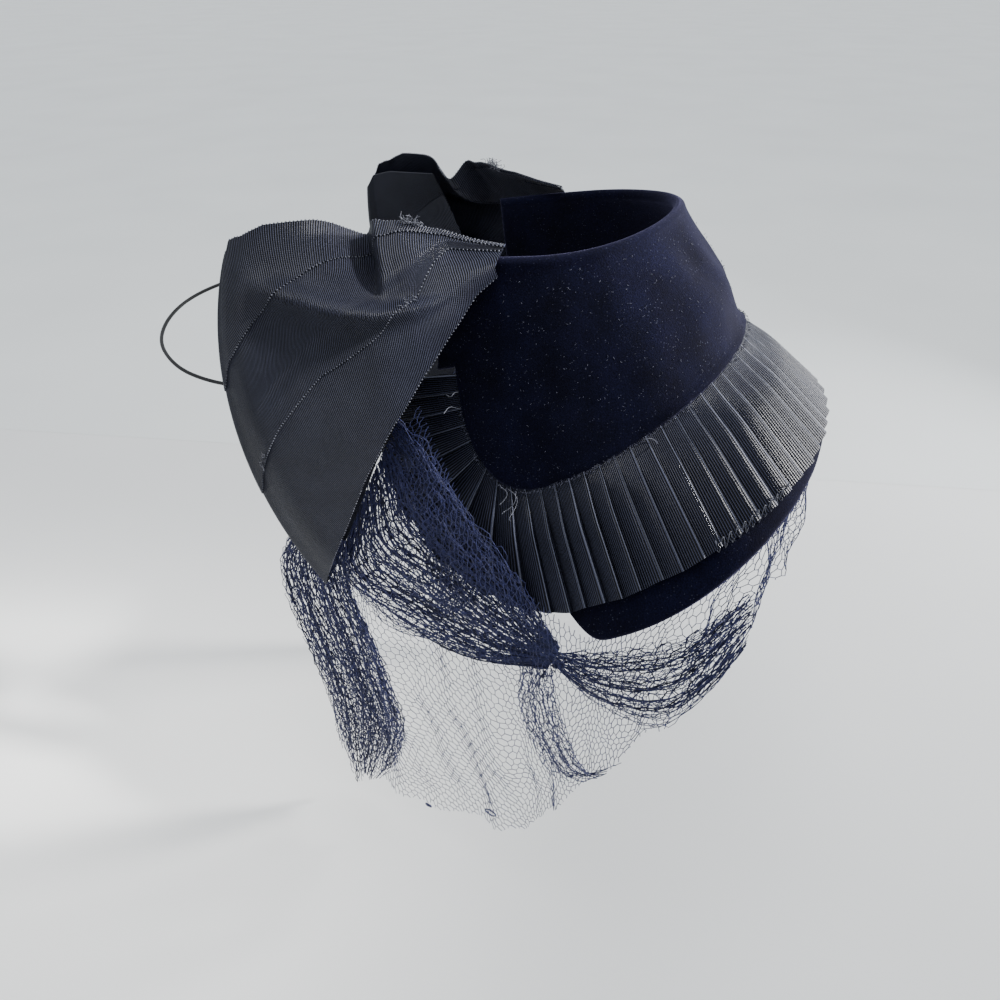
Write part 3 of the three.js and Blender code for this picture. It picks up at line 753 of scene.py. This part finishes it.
bowSeams = {
    "along": [0.0, 0.22, 0.27, 0.34, 0.38, 0.5, 0.65, 0.8, 1.0],
    "first": [0.05, 0.05, 0.05, 0.06, 0.07, 0.1, 0.19, 0.28, 0.37],
    "second": [0.14, 0.17, 0.3, 0.5, 0.55, 0.58, 0.57, 0.61, 0.68],
}


def bowEdge(side, along, edge):
    hook = ringPoint(rim, side * bow["hookAngle"])
    value = lambda name: np.interp(along, bowSections["along"], bowSections[edge + name])
    return np.stack([
        hook[0] + side * value("Out") * bow["splay"],
        hook[1] + value("Back") * bow["length"],
        hook[2] + crown["rollRadius"] - value("Down") * bow["drop"],
    ], -1)


def bowFace(side, along, across):
    arch = 4 * across * (1 - across)
    point = lerp(bowEdge(side, along, "top"), bowEdge(side, along, "low"), across)
    point[..., 1] += bow["backBulge"] * arch * smooth(along, 0.45, 1)
    point[..., 0] += side * bow["sidePuff"] * arch * (1 + smooth(along, 0.1, 0.5))
    point[..., 2] += bow["sidePuff"] * arch * smooth(along, 0.1, 0.4) * (1 - across)
    return point


def bowNormal(side, along, across):
    near = 0.02
    ahead, behind = np.minimum(1, along + near), np.maximum(0, along - near)
    lower, upper = np.minimum(1, across + near), np.maximum(0, across - near)
    lengthways = bowFace(side, ahead, across) - bowFace(side, behind, across)
    crossways = bowFace(side, along, lower) - bowFace(side, along, upper)
    normal = unit(np.cross(lengthways, crossways))
    return normal * np.where(normal[..., 0] * side < 0, -1, 1)[..., None]


def bowPinch(along, across):
    fold = along - 0.53 + 0.12 * across
    fold = fold / np.where(fold < 0, bow["foldSharp"], bow["foldSoft"])
    ridge = (along - 0.95 + across) / 0.055
    hollow = bow["pinchDepth"] * (1 - smooth(across, 0.12, 0.46))
    swell = bow["ridgeHeight"] * smooth(across, 0.12, 0.3) * (1 - smooth(across, 0.5, 0.72))
    return -hollow * np.exp(-fold ** 2) + swell * np.exp(-ridge ** 2)


# Small creases either side of the pinch
def bowCrumple(along, across):
    near = np.exp(-((along - 0.5) / 0.12) ** 2) * (1 - smooth(across, 0.3, 0.6))
    dent = np.exp(-((along - 0.44 + 0.1 * across) / 0.022) ** 2)
    dent = dent + 0.7 * np.exp(-((along - 0.585 + 0.3 * across) / 0.02) ** 2)
    slack = np.sin(along * 17 + across * 5) * np.sin(across * 7 + 1)
    slack = slack * smooth(along, 0.1, 0.3) * (1 - smooth(along, 0.85, 0.98))
    return -0.0016 * near * dent + 0.0007 * slack


def bowFull(along):
    return bow["fullness"] * smooth(along, 0.1, 0.9) * (1 - 0.3 * smooth(along, 0.85, 1))


def seamAcross(side, row, along, share, tuck=0.0):
    width = np.linalg.norm(bowEdge(side, along, "top") - bowEdge(side, along, "low"), axis=-1)
    inset = clearance / width
    first = np.interp(along, bowSeams["along"], bowSeams["first"])
    second = np.interp(along, bowSeams["along"], bowSeams["second"])
    seams = [np.zeros_like(first), first, second, np.ones_like(first)]
    start = seams[row] + (inset / 2 if row == 0 else mix(inset / 2, -bow["underlap"] / width, tuck))
    return mix(start, seams[row + 1] - inset / 2, share)


# One ribbon of a bow: over the top from the hook, round the fold and back underneath
def bowSkin(side, row):
    step = bow["rowStep"] * (2 - row)
    foldAt = bow["foldAt"]

    def place(u, v):
        share = u
        onTop = np.clip(v / 0.6, 0, 1)
        onFold = np.clip((v - 0.6) / 0.1, 0, 1)
        onLow = np.clip((v - 0.7) / 0.3, 0, 1)
        along = np.where(v < 0.65, foldAt * onTop, mix(foldAt, bow["hiddenEnd"], onLow))
        tuck = 1 - smooth(v, 0.6, 0.7)
        across = seamAcross(side, row, along, share, tuck)
        face = bowFace(side, along, across)
        normal = bowNormal(side, along, across)
        height = bowFull(along) + bowPinch(along, across) + step + bow["wall"]
        top = face + normal * (height + bowCrumple(along, across) * (v <= 0.6))[..., None]
        atFold = np.full_like(share, foldAt)
        acrossFold = seamAcross(side, row, atFold, share, tuck)
        foldFace = bowFace(side, atFold, acrossFold)
        foldNormal = bowNormal(side, atFold, acrossFold)
        back = unit(bowFace(side, atFold, acrossFold) - bowFace(side, atFold - 0.055, acrossFold))
        radius = (bowFull(foldAt) + step + bow["wall"]) / 2
        turn = np.pi * onFold
        fold = foldFace + back * (radius * np.sin(turn))[..., None]
        fold = fold + foldNormal * (radius + radius * np.cos(turn))[..., None]
        points = np.where((v <= 0.6)[..., None], top, np.where((v < 0.7)[..., None], fold, face))
        gone = lengthAlong(points, 0)
        wide = lengthAlong(points, 1)
        pinch = np.argmin(np.abs(v[:, 0] - 0.6 * 0.53 / foldAt))
        cloth = np.stack([(gone - gone[pinch][None]) * 10, wide * 10], -1)
        return points, cloth

    return place


for sideName, side in (("right", -1), ("left", 1)):
    for row in range(3):
        piece = laidGrid(f"bow_{sideName}_ribbon_{row + 1}", bow["across"], bow["along"], bowSkin(side, row))
        thick = piece.modifiers.new("cloth", "SOLIDIFY")
        thick.thickness = bow["cloth"]
        thick.offset = 0
        applyModifiers(piece)
        pick(piece)
        bpy.ops.object.mode_set(mode="EDIT")
        bpy.ops.mesh.select_all(action="SELECT")
        bpy.ops.mesh.normals_make_consistent(inside=False)
        bpy.ops.object.mode_set(mode="OBJECT")
        bpy.ops.object.shade_smooth_by_angle(angle=math.radians(40))
        finishPiece(piece, f"bow_{sideName}_row_{row + 1}", bowRibbon)


# One small bead, copied along lines of places with its own size at each
def beadPiece(name, places, sizes, material):
    clearSelection()
    bpy.ops.mesh.primitive_ico_sphere_add(subdivisions=1, radius=1, location=(0, 0, 0))
    piece = bpy.context.object
    piece.name = name
    mesh = piece.data
    bead = np.empty(len(mesh.vertices) * 3)
    mesh.vertices.foreach_get("co", bead)
    bead = bead.reshape(-1, 3)
    faces = np.array([list(polygon.vertices) for polygon in mesh.polygons])
    points = (places[:, None] + bead[None] * sizes[:, None, None]).reshape(-1, 3)
    joined = (faces[None] + np.arange(len(places))[:, None, None] * len(bead)).reshape(-1, 3)
    mesh.clear_geometry()
    mesh.from_pydata(points.tolist(), [], joined.tolist())
    mesh.update()
    pick(piece)
    bpy.ops.object.shade_smooth()
    finishPiece(piece, None, material)


picots = {"pitch": 0.0017, "size": 0.00043, "outset": 0.00012, "steps": 500}
for sideName, side in (("right", -1), ("left", 1)):
    beadRng = np.random.default_rng(61)
    places = []
    for row, share in ((0, 0.0), (0, 1.0), (1, 1.0), (2, 1.0)):
        v = np.linspace(0.004, 0.63, picots["steps"])
        inward = np.array([0, 0.02 if share == 0 else -0.02])
        edge, _ = bowSkin(side, row)(share + inward + np.zeros((picots["steps"], 2)), np.stack([v, v], 1))
        outward = unit(edge[:, 0] - edge[:, 1])
        gone = lengthAlong(edge[:, 0], 0)
        even = np.arange(0.0004, gone[-1], picots["pitch"])
        line = np.stack([np.interp(even, gone, edge[:, 0, axis]) for axis in range(3)], -1)
        away = np.stack([np.interp(even, gone, outward[:, axis]) for axis in range(3)], -1)
        places.append(line + away * picots["outset"])
    places = np.vstack(places)
    sizes = picots["size"] * beadRng.uniform(0.8, 1.2, len(places))
    beadPiece(f"bow_{sideName}_picots", places, sizes, picotThread)
print("bows made")


# Net veil
veil = {
    "wall": 0.0012, "length": 0.262, "gatherBack": 0.075, "gatherHeight": 0.024, "gatherOut": 0.0785,
    "backReach": 0.138, "backOut": 0.082, "belly": 0.058, "inset": 0.0025, "rootGap": 0.0008, "drape": 0.9,
    "gatherPuff": 0.014, "cell": 0.0057, "thread": 0.00042, "fullness": 1.25,
}
veilColumns = {
    "place": [0.0, 0.18, 0.34, 0.5, 0.62, 0.76, 0.88, 1.0],
    "angle": [0, 30, 58, 85, 103, 108, 108, 108],
    "toGather": [0, 0, 0, 0, 0, 0.34, 0.7, 1.0],
    "drop": [0.27, 0.28, 0.33, 0.41, 0.53, 0.76, 0.88, 0.93],
    "belly": [0.0, 0.0, 0.02, 0.03, 0.05, 0.14, 0.42, 0.8],
    "reach": [0.0, 0.0, 0.0, 0.0, 0.0, 0.14, 0.52, 1.0],
}


def veilEnds(place):
    side = np.where(place < 0, -1.0, 1.0)
    value = lambda name: np.interp(np.abs(place), veilColumns["place"], veilColumns[name])
    angle = side * value("angle")
    under = pleats["rootHeight"] + pleats["wall"] + brim["wall"] + veil["wall"] / 2 + veil["rootGap"]
    inset = np.full_like(angle, 1 - veil["inset"] / pleats["width"])
    root = lerp(ringPoint(base, angle), ringPoint(brimEdge, angle), inset)
    root = root + brimNormal(angle, np.ones_like(angle)) * (-under - 2 * brimDip(angle))[..., None]
    back, height = np.full_like(side, veil["gatherBack"]), np.full_like(side, veil["gatherHeight"])
    gather = np.stack([side * veil["gatherOut"], back, height], -1)
    toGather = value("toGather")
    top = lerp(root, gather, toGather)
    top[..., 0] += side * veil["gatherPuff"] * np.sin(np.pi * toGather)
    hem = root.copy()
    reach = value("reach")
    hem[..., 1] = root[..., 1] + reach * (veil["backReach"] - root[..., 1])
    hem[..., 0] = mix(root[..., 0], side * veil["backOut"], reach)
    hem[..., 2] = root[..., 2] - value("drop") * veil["length"] * veil["drape"]
    return top, hem, value("belly") * veil["belly"]


def veilPoint(place, share):
    top, hem, belly = veilEnds(place)
    point = lerp(top, hem, share)
    point[..., 1] += belly * np.sin(np.pi * np.minimum(1, share * 1.15))
    return point


def veilNormal(place, share):
    across = veilPoint(np.minimum(1, place + 0.01), share) - veilPoint(np.maximum(-1, place - 0.01), share)
    down = veilPoint(place, np.minimum(1, share + 0.02)) - veilPoint(place, np.maximum(0, share - 0.02))
    return unit(np.cross(down, across))


# Folds of the loose net, faded out where it is sewn on
def netFold(place, share):
    free = smooth(share, 0.02, 0.35)
    fold = 0.0030 * np.sin(place * 46) + 0.0014 * np.sin(place * 83 + 5 * share)
    fold = fold + 0.0010 * np.sin(place * 131 - 7 * share)
    point = veilPoint(place, share)
    return fold * free + 0.0016 * unevenness(point, 31, 0.035, 2) * smooth(share, 0, 0.2)


# Hexagonal net: each thread zigzags down, twisted with one neighbour and then with the other
def netThreads(surface, places, lengths, cell, seed, nudgeSize, ragged=0.0):
    rng = np.random.default_rng(seed)
    limits = lengths * (1 - ragged * rng.random(len(places)) ** 1.5)
    side = cell / math.sqrt(3)
    levels = int(max(lengths) / (side * 1.5)) + 2
    nudge = rng.normal(0, nudgeSize, (len(places), levels * 2 + 2, 2))
    lines = []
    for thread in range(len(places) - 1):
        homes, keys, downs, gone = [], [], [], 0.0
        for level in range(levels):
            home = thread if (level + thread) % 2 == 0 else thread + 1
            homes += [home, home]
            keys += [level * 2, level * 2 + 1]
            downs += [gone, gone + side]
            gone += side * 1.5
            if gone > limits[home]:
                break
        homes, keys, downs = np.array(homes), np.array(keys), np.array(downs)
        share = np.clip((downs + nudge[homes, keys, 1]) / lengths[homes], 0, 1)
        line = surface(places[homes], share, nudge[homes, keys, 0])
        if len(line) > 2:
            lines.append(line)
    return lines


def hungNet(place, share, sideways):
    point = veilPoint(place, share) + veilNormal(place, share) * netFold(place, share)[:, None]
    ahead, behind = np.minimum(1, place + 0.005), np.maximum(-1, place - 0.005)
    across = unit(veilPoint(ahead, share) - veilPoint(behind, share))
    return point + across * sideways[:, None]


def hungNetLines():
    fine = np.linspace(-1, 1, 2001)
    hem = veilPoint(fine, np.ones_like(fine))
    gone = np.concatenate([[0], np.cumsum(np.linalg.norm(np.diff(hem, axis=0), axis=1))])
    count = int(round(gone[-1] * veil["fullness"] / veil["cell"] * 2))
    places = np.interp(np.linspace(0, gone[-1], count + 1), gone, fine)
    drop = veilPoint(places, np.zeros_like(places)) - veilPoint(places, np.ones_like(places))
    return netThreads(hungNet, places, np.linalg.norm(drop, axis=-1), veil["cell"], 5, 0.0004)


# Gathered net: patches of the same net squeezed between two guide lines, mirrored for the far side
gathers = {
    "sweep": {
        "threads": (0.0008, 100, 104), "cell": 0.0062, "spread": 0.0035, "ripple": 0.0022, "ragged": 0.0,
        "from": [
            (-0.08, 0.086, 0.0155), (-0.086, 0.0708, 0.0073), (-0.094, 0.0544, -0.007),
            (-0.103, 0.0359, -0.0252), (-0.111, 0.0158, -0.0462), (-0.117, -0.0062, -0.0736),
        ],
        "to": [
            (-0.084, 0.1165, -0.0484), (-0.088, 0.1237, -0.0858), (-0.095, 0.0981, -0.1052),
            (-0.102, 0.0672, -0.1061), (-0.108, 0.035, -0.105), (-0.115, -0.0004, -0.0918),
        ],
    },
    "fall": {
        "threads": (0.0007, 84, 86), "cell": 0.0066, "spread": 0.004, "ripple": 0.0022, "ragged": 0.3,
        "from": [
            (-0.084, 0.1489, -0.0557), (-0.084, 0.1645, -0.0854), (-0.084, 0.1658, -0.1204),
            (-0.084, 0.1585, -0.1662), (-0.083, 0.1543, -0.2201), (-0.082, 0.1519, -0.2646),
            (-0.082, 0.1494, -0.303),
        ],
        "to": [
            (-0.092, 0.1176, -0.0562), (-0.092, 0.1182, -0.0922), (-0.092, 0.1102, -0.1295),
            (-0.091, 0.1019, -0.1719), (-0.089, 0.0981, -0.212), (-0.087, 0.1066, -0.2504),
            (-0.084, 0.1249, -0.2835),
        ],
    },
    "skirt": {
        "threads": (0.0008, 30, 44), "cell": 0.0062, "spread": 0.003, "ripple": 0.002, "ragged": 0.15,
        "from": [
            (-0.116, -0.0002, -0.0793), (-0.118, -0.0209, -0.0727), (-0.118, -0.0435, -0.0634),
            (-0.11, -0.0678, -0.0509), (-0.09, -0.0898, -0.0342),
        ],
        "to": [
            (-0.117, -0.0028, -0.086), (-0.119, -0.0262, -0.102), (-0.119, -0.0534, -0.1086),
            (-0.112, -0.0743, -0.0928), (-0.098, -0.0898, -0.0679),
        ],
    },
    "fan": {
        "threads": (0.0006, 0, 24), "cell": 0.0062, "spread": 0.002, "ripple": 0.0015, "ragged": 0.3,
        "from": [
            (-0.116, 0.0137, -0.0932), (-0.117, 0.0131, -0.1186), (-0.117, 0.0041, -0.1527),
            (-0.117, -0.011, -0.1782), (-0.117, -0.0282, -0.1818),
        ],
        "to": [
            (-0.118, -0.0031, -0.0877), (-0.12, -0.0066, -0.1118), (-0.12, -0.0164, -0.1404),
            (-0.119, -0.0306, -0.162), (-0.119, -0.0465, -0.1378),
        ],
    },
}


def gatherLines(name, layer, threads, mirror):
    gather = gathers[name]
    steps = 160
    fromLine, fromLength = smoothLine(gather["from"], steps)
    toLine, toLength = smoothLine(gather["to"], steps)
    rng = np.random.default_rng(100 + 7 * layer + len(name))
    places = np.linspace(0, 1, threads + 1) + rng.normal(0, 0.9 / threads, threads + 1)
    places = np.sort(np.clip(places, -0.02, 1.02))
    lengths = mix(fromLength, toLength, places)
    shift = rng.uniform(0, 6.28, 3)

    def surface(place, share, sideways):
        at = share * (steps - 1)
        index = np.minimum(at.astype(int), steps - 2)
        part = (at - index)[:, None]
        start = fromLine[index] * (1 - part) + fromLine[index + 1] * part
        end = toLine[index] * (1 - part) + toLine[index + 1] * part
        drift = 0.035 * np.sin(share * 7 + shift[0] + 3 * place) + 0.02 * np.sin(share * 17 + shift[1])
        free = np.sin(np.pi * np.clip(share, 0.03, 0.97))
        point = start + (end - start) * (place + drift * free)[:, None]
        outward = np.array([-1.0, 0, 0])
        ripple = gather["ripple"] * np.sin(place * 19 + share * 4 + shift[2])
        ripple = ripple + 0.0009 * np.sin(place * 61 + share * 9 + shift[1])
        point = point + outward * ((layer - 1) * gather["spread"] * free * 0.6 + ripple * free)[:, None]
        across = unit(end - start)
        return point + across * (sideways * 1.2)[:, None]

    cell = gather["cell"] * (1.3 if layer == 0 else 1 + 0.12 * layer)
    lines = netThreads(surface, places, lengths, cell, 40 + layer, 0.00055, gather["ragged"])
    if mirror:
        lines = [line * np.array([-1, 1, 1]) for line in lines]
    return lines


def netPieceFrom(name, lines, thickness, material, node=None):
    piece = threadPiece(name, lines, thickness)
    finishPiece(piece, node, material)
    print(name, "triangles", sum(len(polygon.vertices) - 2 for polygon in piece.data.polygons))


netPieceFrom("veil_net", hungNetLines(), veil["thread"], netThread, "veil")
for sideName, mirror in (("right", False), ("left", True)):
    for name, gather in gathers.items():
        thick, dark, fine = gather["threads"]
        fineLines = gatherLines(name, 1, fine, mirror)
        if not mirror:
            fineLines += gatherLines(name, 2, fine, mirror)
        netPieceFrom(f"veil_{name}_{sideName}", fineLines, veil["thread"], netThread)
        if dark:
            netPieceFrom(f"veil_{name}_shade_{sideName}", gatherLines(name, 0, dark, mirror), thick, netShade)
print("veil made")


# Knots, rings and loose threads of the net and the sewing, near side
trims = {
    "rings": [((-0.104, 0.033, -0.2444), 0.0042), ((-0.098, 0.0824, -0.2843), 0.0024)],
    "knots": [
        (-0.118, 0.0002, -0.0939), (-0.104, -0.0738, -0.0557), (-0.105, -0.0703, -0.0703),
        (-0.1, -0.0878, -0.0945), (-0.1175, -0.004, -0.0875),
    ],
    "knotTurns": 14, "knotSize": 0.0013, "ringThread": 0.001, "thread": 0.00045, "frayThread": 0.00028,
    "fuzz": 520, "fuzzLength": 0.0016, "lint": 520, "lintLength": 0.0007, "fuzzThread": 0.0002,
    "stitchFrom": -0.46, "stitchTo": -0.27, "stitches": 12,
    # loose ends by the crown's foot and at the corner of the pleats: step along the hem, lift, length
    "looseEnds": [
        (-0.845, 0.001, 0.016), (-0.83, 0.002, 0.012), (-0.86, 0.001, 0.009),
        (-0.97, 0.001, 0.008), (-0.985, 0.001, 0.006), (-0.5, 0.001, 0.007),
    ],
    # frayed ends at the notch, the tail and the tack near the fold: along, across, row, count, length
    "frays": [
        (0.36, 0.0, 0, 26, 0.005), (0.33, 0.0, 0, 16, 0.004),
        (0.9, 0.985, 1, 14, 0.004), (0.36, 0.99, 1, 12, 0.003),
    ],
}


netPoints = []
for piece in bpy.data.objects:
    if piece.name.startswith("veil_") and piece.type == "MESH":
        flat = np.empty(len(piece.data.vertices) * 3)
        piece.data.vertices.foreach_get("co", flat)
        netPoints.append(flat.reshape(-1, 3)[::5])
netPoints = np.concatenate(netPoints)


# The nearest place on the net's threads
def onNet(place):
    return netPoints[np.linalg.norm(netPoints - np.asarray(place), axis=1).argmin()]


def ringPiece(name, place, radius):
    clearSelection()
    bpy.ops.mesh.primitive_torus_add(
        location=place, rotation=(1.35, 0.2, 1.3), major_radius=radius,
        minor_radius=trims["ringThread"] / 2, major_segments=26, minor_segments=6,
    )
    piece = bpy.context.object
    piece.name = name
    bpy.ops.object.transform_apply(location=True, rotation=True, scale=True)
    mesh = piece.data
    for vertex in mesh.vertices:
        vertex.co += Vector((0, 0.0004, 0.0006)) * math.sin(vertex.co.y * 900 + vertex.co.z * 500)
    bpy.ops.object.shade_smooth()
    finishPiece(piece, None, netThread)


for index, (place, radius) in enumerate(trims["rings"]):
    ringPiece(f"veil_ring_{index + 1}", tuple(onNet(place) - np.array([0, 0, radius])), radius)

trimRng = np.random.default_rng(77)
knotPlaces = np.repeat(np.array([onNet(place) for place in trims["knots"]]), trims["knotTurns"], axis=0)
knotPlaces += trimRng.normal(0, trims["knotSize"] * 0.6, knotPlaces.shape)
knotSizes = trims["knotSize"] * trimRng.uniform(0.3, 0.7, len(knotPlaces))
beadPiece("veil_knots", knotPlaces, knotSizes, netShade)


# One place on the crown's foot: the point, along the hem, out from it and up
def hemPlaceAt(step):
    step = np.array([step])
    return [hemPoint(step)[0], *(value[0] for value in hemFrame(step))]


# A short wandering thread
def strayThread(start, way, length, curl, points=7):
    side = unit(np.cross(way, trimRng.normal(size=3)))
    other = unit(np.cross(way, side))
    share = np.linspace(0, 1, points)[:, None]
    turn = trimRng.uniform(0, 6.28)
    bend = curl * length * share
    line = start + way * share * length + side * bend * np.sin(share * 5 + turn)
    return line + other * bend * np.cos(share * 4 + turn)


# zigzag stitches over the edge of the pleats
stitchSteps = np.linspace(trims["stitchFrom"], trims["stitchTo"], trims["stitches"])
stitchPoint, (_, stitchOut, stitchUp) = hemPoint(stitchSteps), hemFrame(stitchSteps)
inner = stitchPoint + stitchOut * (pleats["width"] - 0.004) + stitchUp * 0.0048
outer = stitchPoint + stitchOut * (pleats["width"] + 0.0012) - stitchUp * 0.0022
zigzag = np.stack([inner, outer], 1).reshape(-1, 3)
sewing = [smoothLine(zigzag, 120)[0]]
for step, lift, length in trims["looseEnds"]:
    foot, along, out, up = hemPlaceAt(step)
    way = unit(out * 0.5 + up * 0.3 + along * trimRng.uniform(-0.6, 0.6))
    sewing.append(strayThread(foot + up * lift, way, length, 0.35, 12))
sewingPiece = threadPiece("loose_stitches", sewing, trims["thread"], sides=1)
finishPiece(sewingPiece, None, picotThread)

# frayed ends of the bows
frays = []
for along, across, row, count, length in trims["frays"]:
    for sideFace in (-1, 1):
        for _ in range(count):
            v = along * 0.6 / bow["foldAt"] + trimRng.normal(0, 0.006)
            nearEdge = np.full((2, 2), v) + np.array([[0], [0.003]])
            spot, _ = bowSkin(sideFace, row)(np.full((2, 2), across), nearEdge)
            way = unit(trimRng.normal(size=3) * 0.5 + np.array([sideFace * 0.5, 0.2, 0.55]))
            frays.append(strayThread(spot[0, 0], way, length * trimRng.uniform(0.5, 1.1), 0.3, 5))
finishPiece(threadPiece("bow_frays", frays, trims["frayThread"]), None, picotThread)

# fuzz where the pile is cut along the crown's foot, and lint on the velvet
fuzz = []
for step in trimRng.uniform(-0.97, 0.97, trims["fuzz"]):
    foot, along, out, _ = hemPlaceAt(step)
    normal = crownNormal(*hemPlace(np.array([step])))[0]
    start = foot + normal * 0.0011 - out * trimRng.uniform(0, 0.0016)
    way = unit(normal * 0.7 + out * 0.5 + along * trimRng.normal(0, 0.8))
    fuzz.append(strayThread(start, way, trims["fuzzLength"] * trimRng.uniform(0.4, 1.2), 0.3, 4))
for _ in range(trims["lint"]):
    angle, share = np.array([trimRng.uniform(-125, 125)]), np.array([trimRng.uniform(0.05, 0.95)])
    share = share * footShare(angle)
    normal = crownNormal(angle, share)[0]
    height = 0.0003 - creaseDepth(angle, share)[0] + frontBulge(angle, share)[0]
    start = crownPoint(angle, share)[0] + normal * height
    way = unit(np.cross(normal, trimRng.normal(size=3)) + normal * 0.3)
    fuzz.append(strayThread(start, way, trims["lintLength"] * trimRng.uniform(0.3, 1.6), 0.3, 4))
finishPiece(threadPiece("velvet_lint", fuzz, trims["fuzzThread"]), None, lintThread)
print("trimmings made")


# Floor, backdrop and light; the colours of the lights stand with their places
studio = {
    "floorHeight": -0.315, "floorColour": (0.97, 0.97, 0.955), "wallColour": (0.965, 0.985, 0.97),
    "keyPower": 165, "bowKeyPower": 200, "rimPower": 3, "fillPower": 0.2, "wallPower": 5, "skyStrength": 1.12,
}


def plainMaterial(name, colour, roughness):
    material, nodes, links, shader = newMaterial(name)
    place = addNode(nodes, "ShaderNodeTexCoord").outputs["Object"]
    grain = noiseNode(nodes, links, place, 3, 3, 0.5)
    soft = tuple(channel * 0.94 for channel in colour)
    links.new(colourRamp(nodes, links, grain, [(0.3, soft), (0.7, colour)]), shader.inputs["Base Color"])
    shader.inputs["Roughness"].default_value = roughness
    return material


clearSelection()
bpy.ops.mesh.primitive_plane_add(size=8, location=(0, 0, studio["floorHeight"]))
floor = bpy.context.object
floor.name = "floor"
floor.data.materials.append(plainMaterial("floor_plain", studio["floorColour"], 0.55))
floor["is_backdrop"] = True

wallFrom = Vector((0.298, 0.669, studio["floorHeight"]))
wallTo = Vector((0.472, -0.26, studio["floorHeight"]))
clearSelection()
bpy.ops.mesh.primitive_plane_add(size=1, location=(0, 0, 0))
backdrop = bpy.context.object
backdrop.name = "backdrop"
# the backdrop lies flat beyond the far edge of the floor, so that it hides nothing from any side
wallWay = (wallTo - wallFrom).normalized()
reach, away = wallWay * 30, Vector((-wallWay.y, wallWay.x, 0)) * 40
lift = Vector((0, 0, 0.0002))
nearLeft, nearRight = wallFrom - reach + lift, wallTo + reach + lift
corners = [nearLeft, nearRight, nearRight + away, nearLeft + away]
for vertex, target in zip([backdrop.data.vertices[i] for i in (0, 1, 3, 2)], corners):
    vertex.co = target
backdrop.data.materials.append(plainMaterial("backdrop_plain", studio["wallColour"], 0.6))
backdrop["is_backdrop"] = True

world = bpy.data.worlds.new("studio")
world.use_nodes = True
world.node_tree.nodes["Background"].inputs[0].default_value = (0.86, 0.9, 0.95, 1)
world.node_tree.nodes["Background"].inputs[1].default_value = studio["skyStrength"]
bpy.context.scene.world = world


def newLight(kind, name, place, target, power, colour):
    clearSelection()
    bpy.ops.object.light_add(type=kind, location=place)
    light = bpy.context.object
    light.name = name
    light.data.energy = power
    light.data.color = colour
    light.rotation_euler = (Vector(place) - Vector(target)).to_track_quat("Z", "Y").to_euler()
    return light.data


def softLight(name, place, target, size, power, colour):
    lamp = newLight("AREA", name, place, target, power, colour)
    lamp.shape = "DISK"
    lamp.size = size


def spotLight(name, place, target, angle, blend, size, power, colour):
    lamp = newLight("SPOT", name, place, target, power, colour)
    lamp.spot_size = math.radians(angle)
    lamp.spot_blend = blend
    lamp.shadow_soft_size = size


right, up, back = (Vector(cameraView[name]) for name in ("right", "up", "back"))
target = Vector((0, 0.02, 0))
high = Vector((0, 0, 1))
bowSpot = Vector((-0.085, 0.06, 0.055))
keyPlace = target + right * 1.12 + high * 0.42 - back * 0.2
bowKeyPlace = bowSpot + right * 0.95 + high * 0.7 + back * 0.3
rimPlace = target + right * 0.75 + high * 0.5 - back * 0.6
fillPlace = target - right * 0.7 + back * 0.8 + high * 0.4
spotLight("key", keyPlace, target, 30, 0.7, 0.09, studio["keyPower"], (1.0, 0.99, 0.96))
spotLight("bow_key", bowKeyPlace, bowSpot, 10, 0.9, 0.05, studio["bowKeyPower"], (1.0, 0.99, 0.97))
softLight("rim_light", rimPlace, target, 0.4, studio["rimPower"], (0.95, 0.97, 1.0))
softLight("fill", fillPlace, target, 0.9, studio["fillPower"], (0.9, 0.95, 1.0))
softLight("wall_light", (0.0, -0.1, 0.85), (0.45, 0.3, -0.1), 0.7, studio["wallPower"], (1.0, 1.0, 0.98))
print("studio made")

low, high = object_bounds()
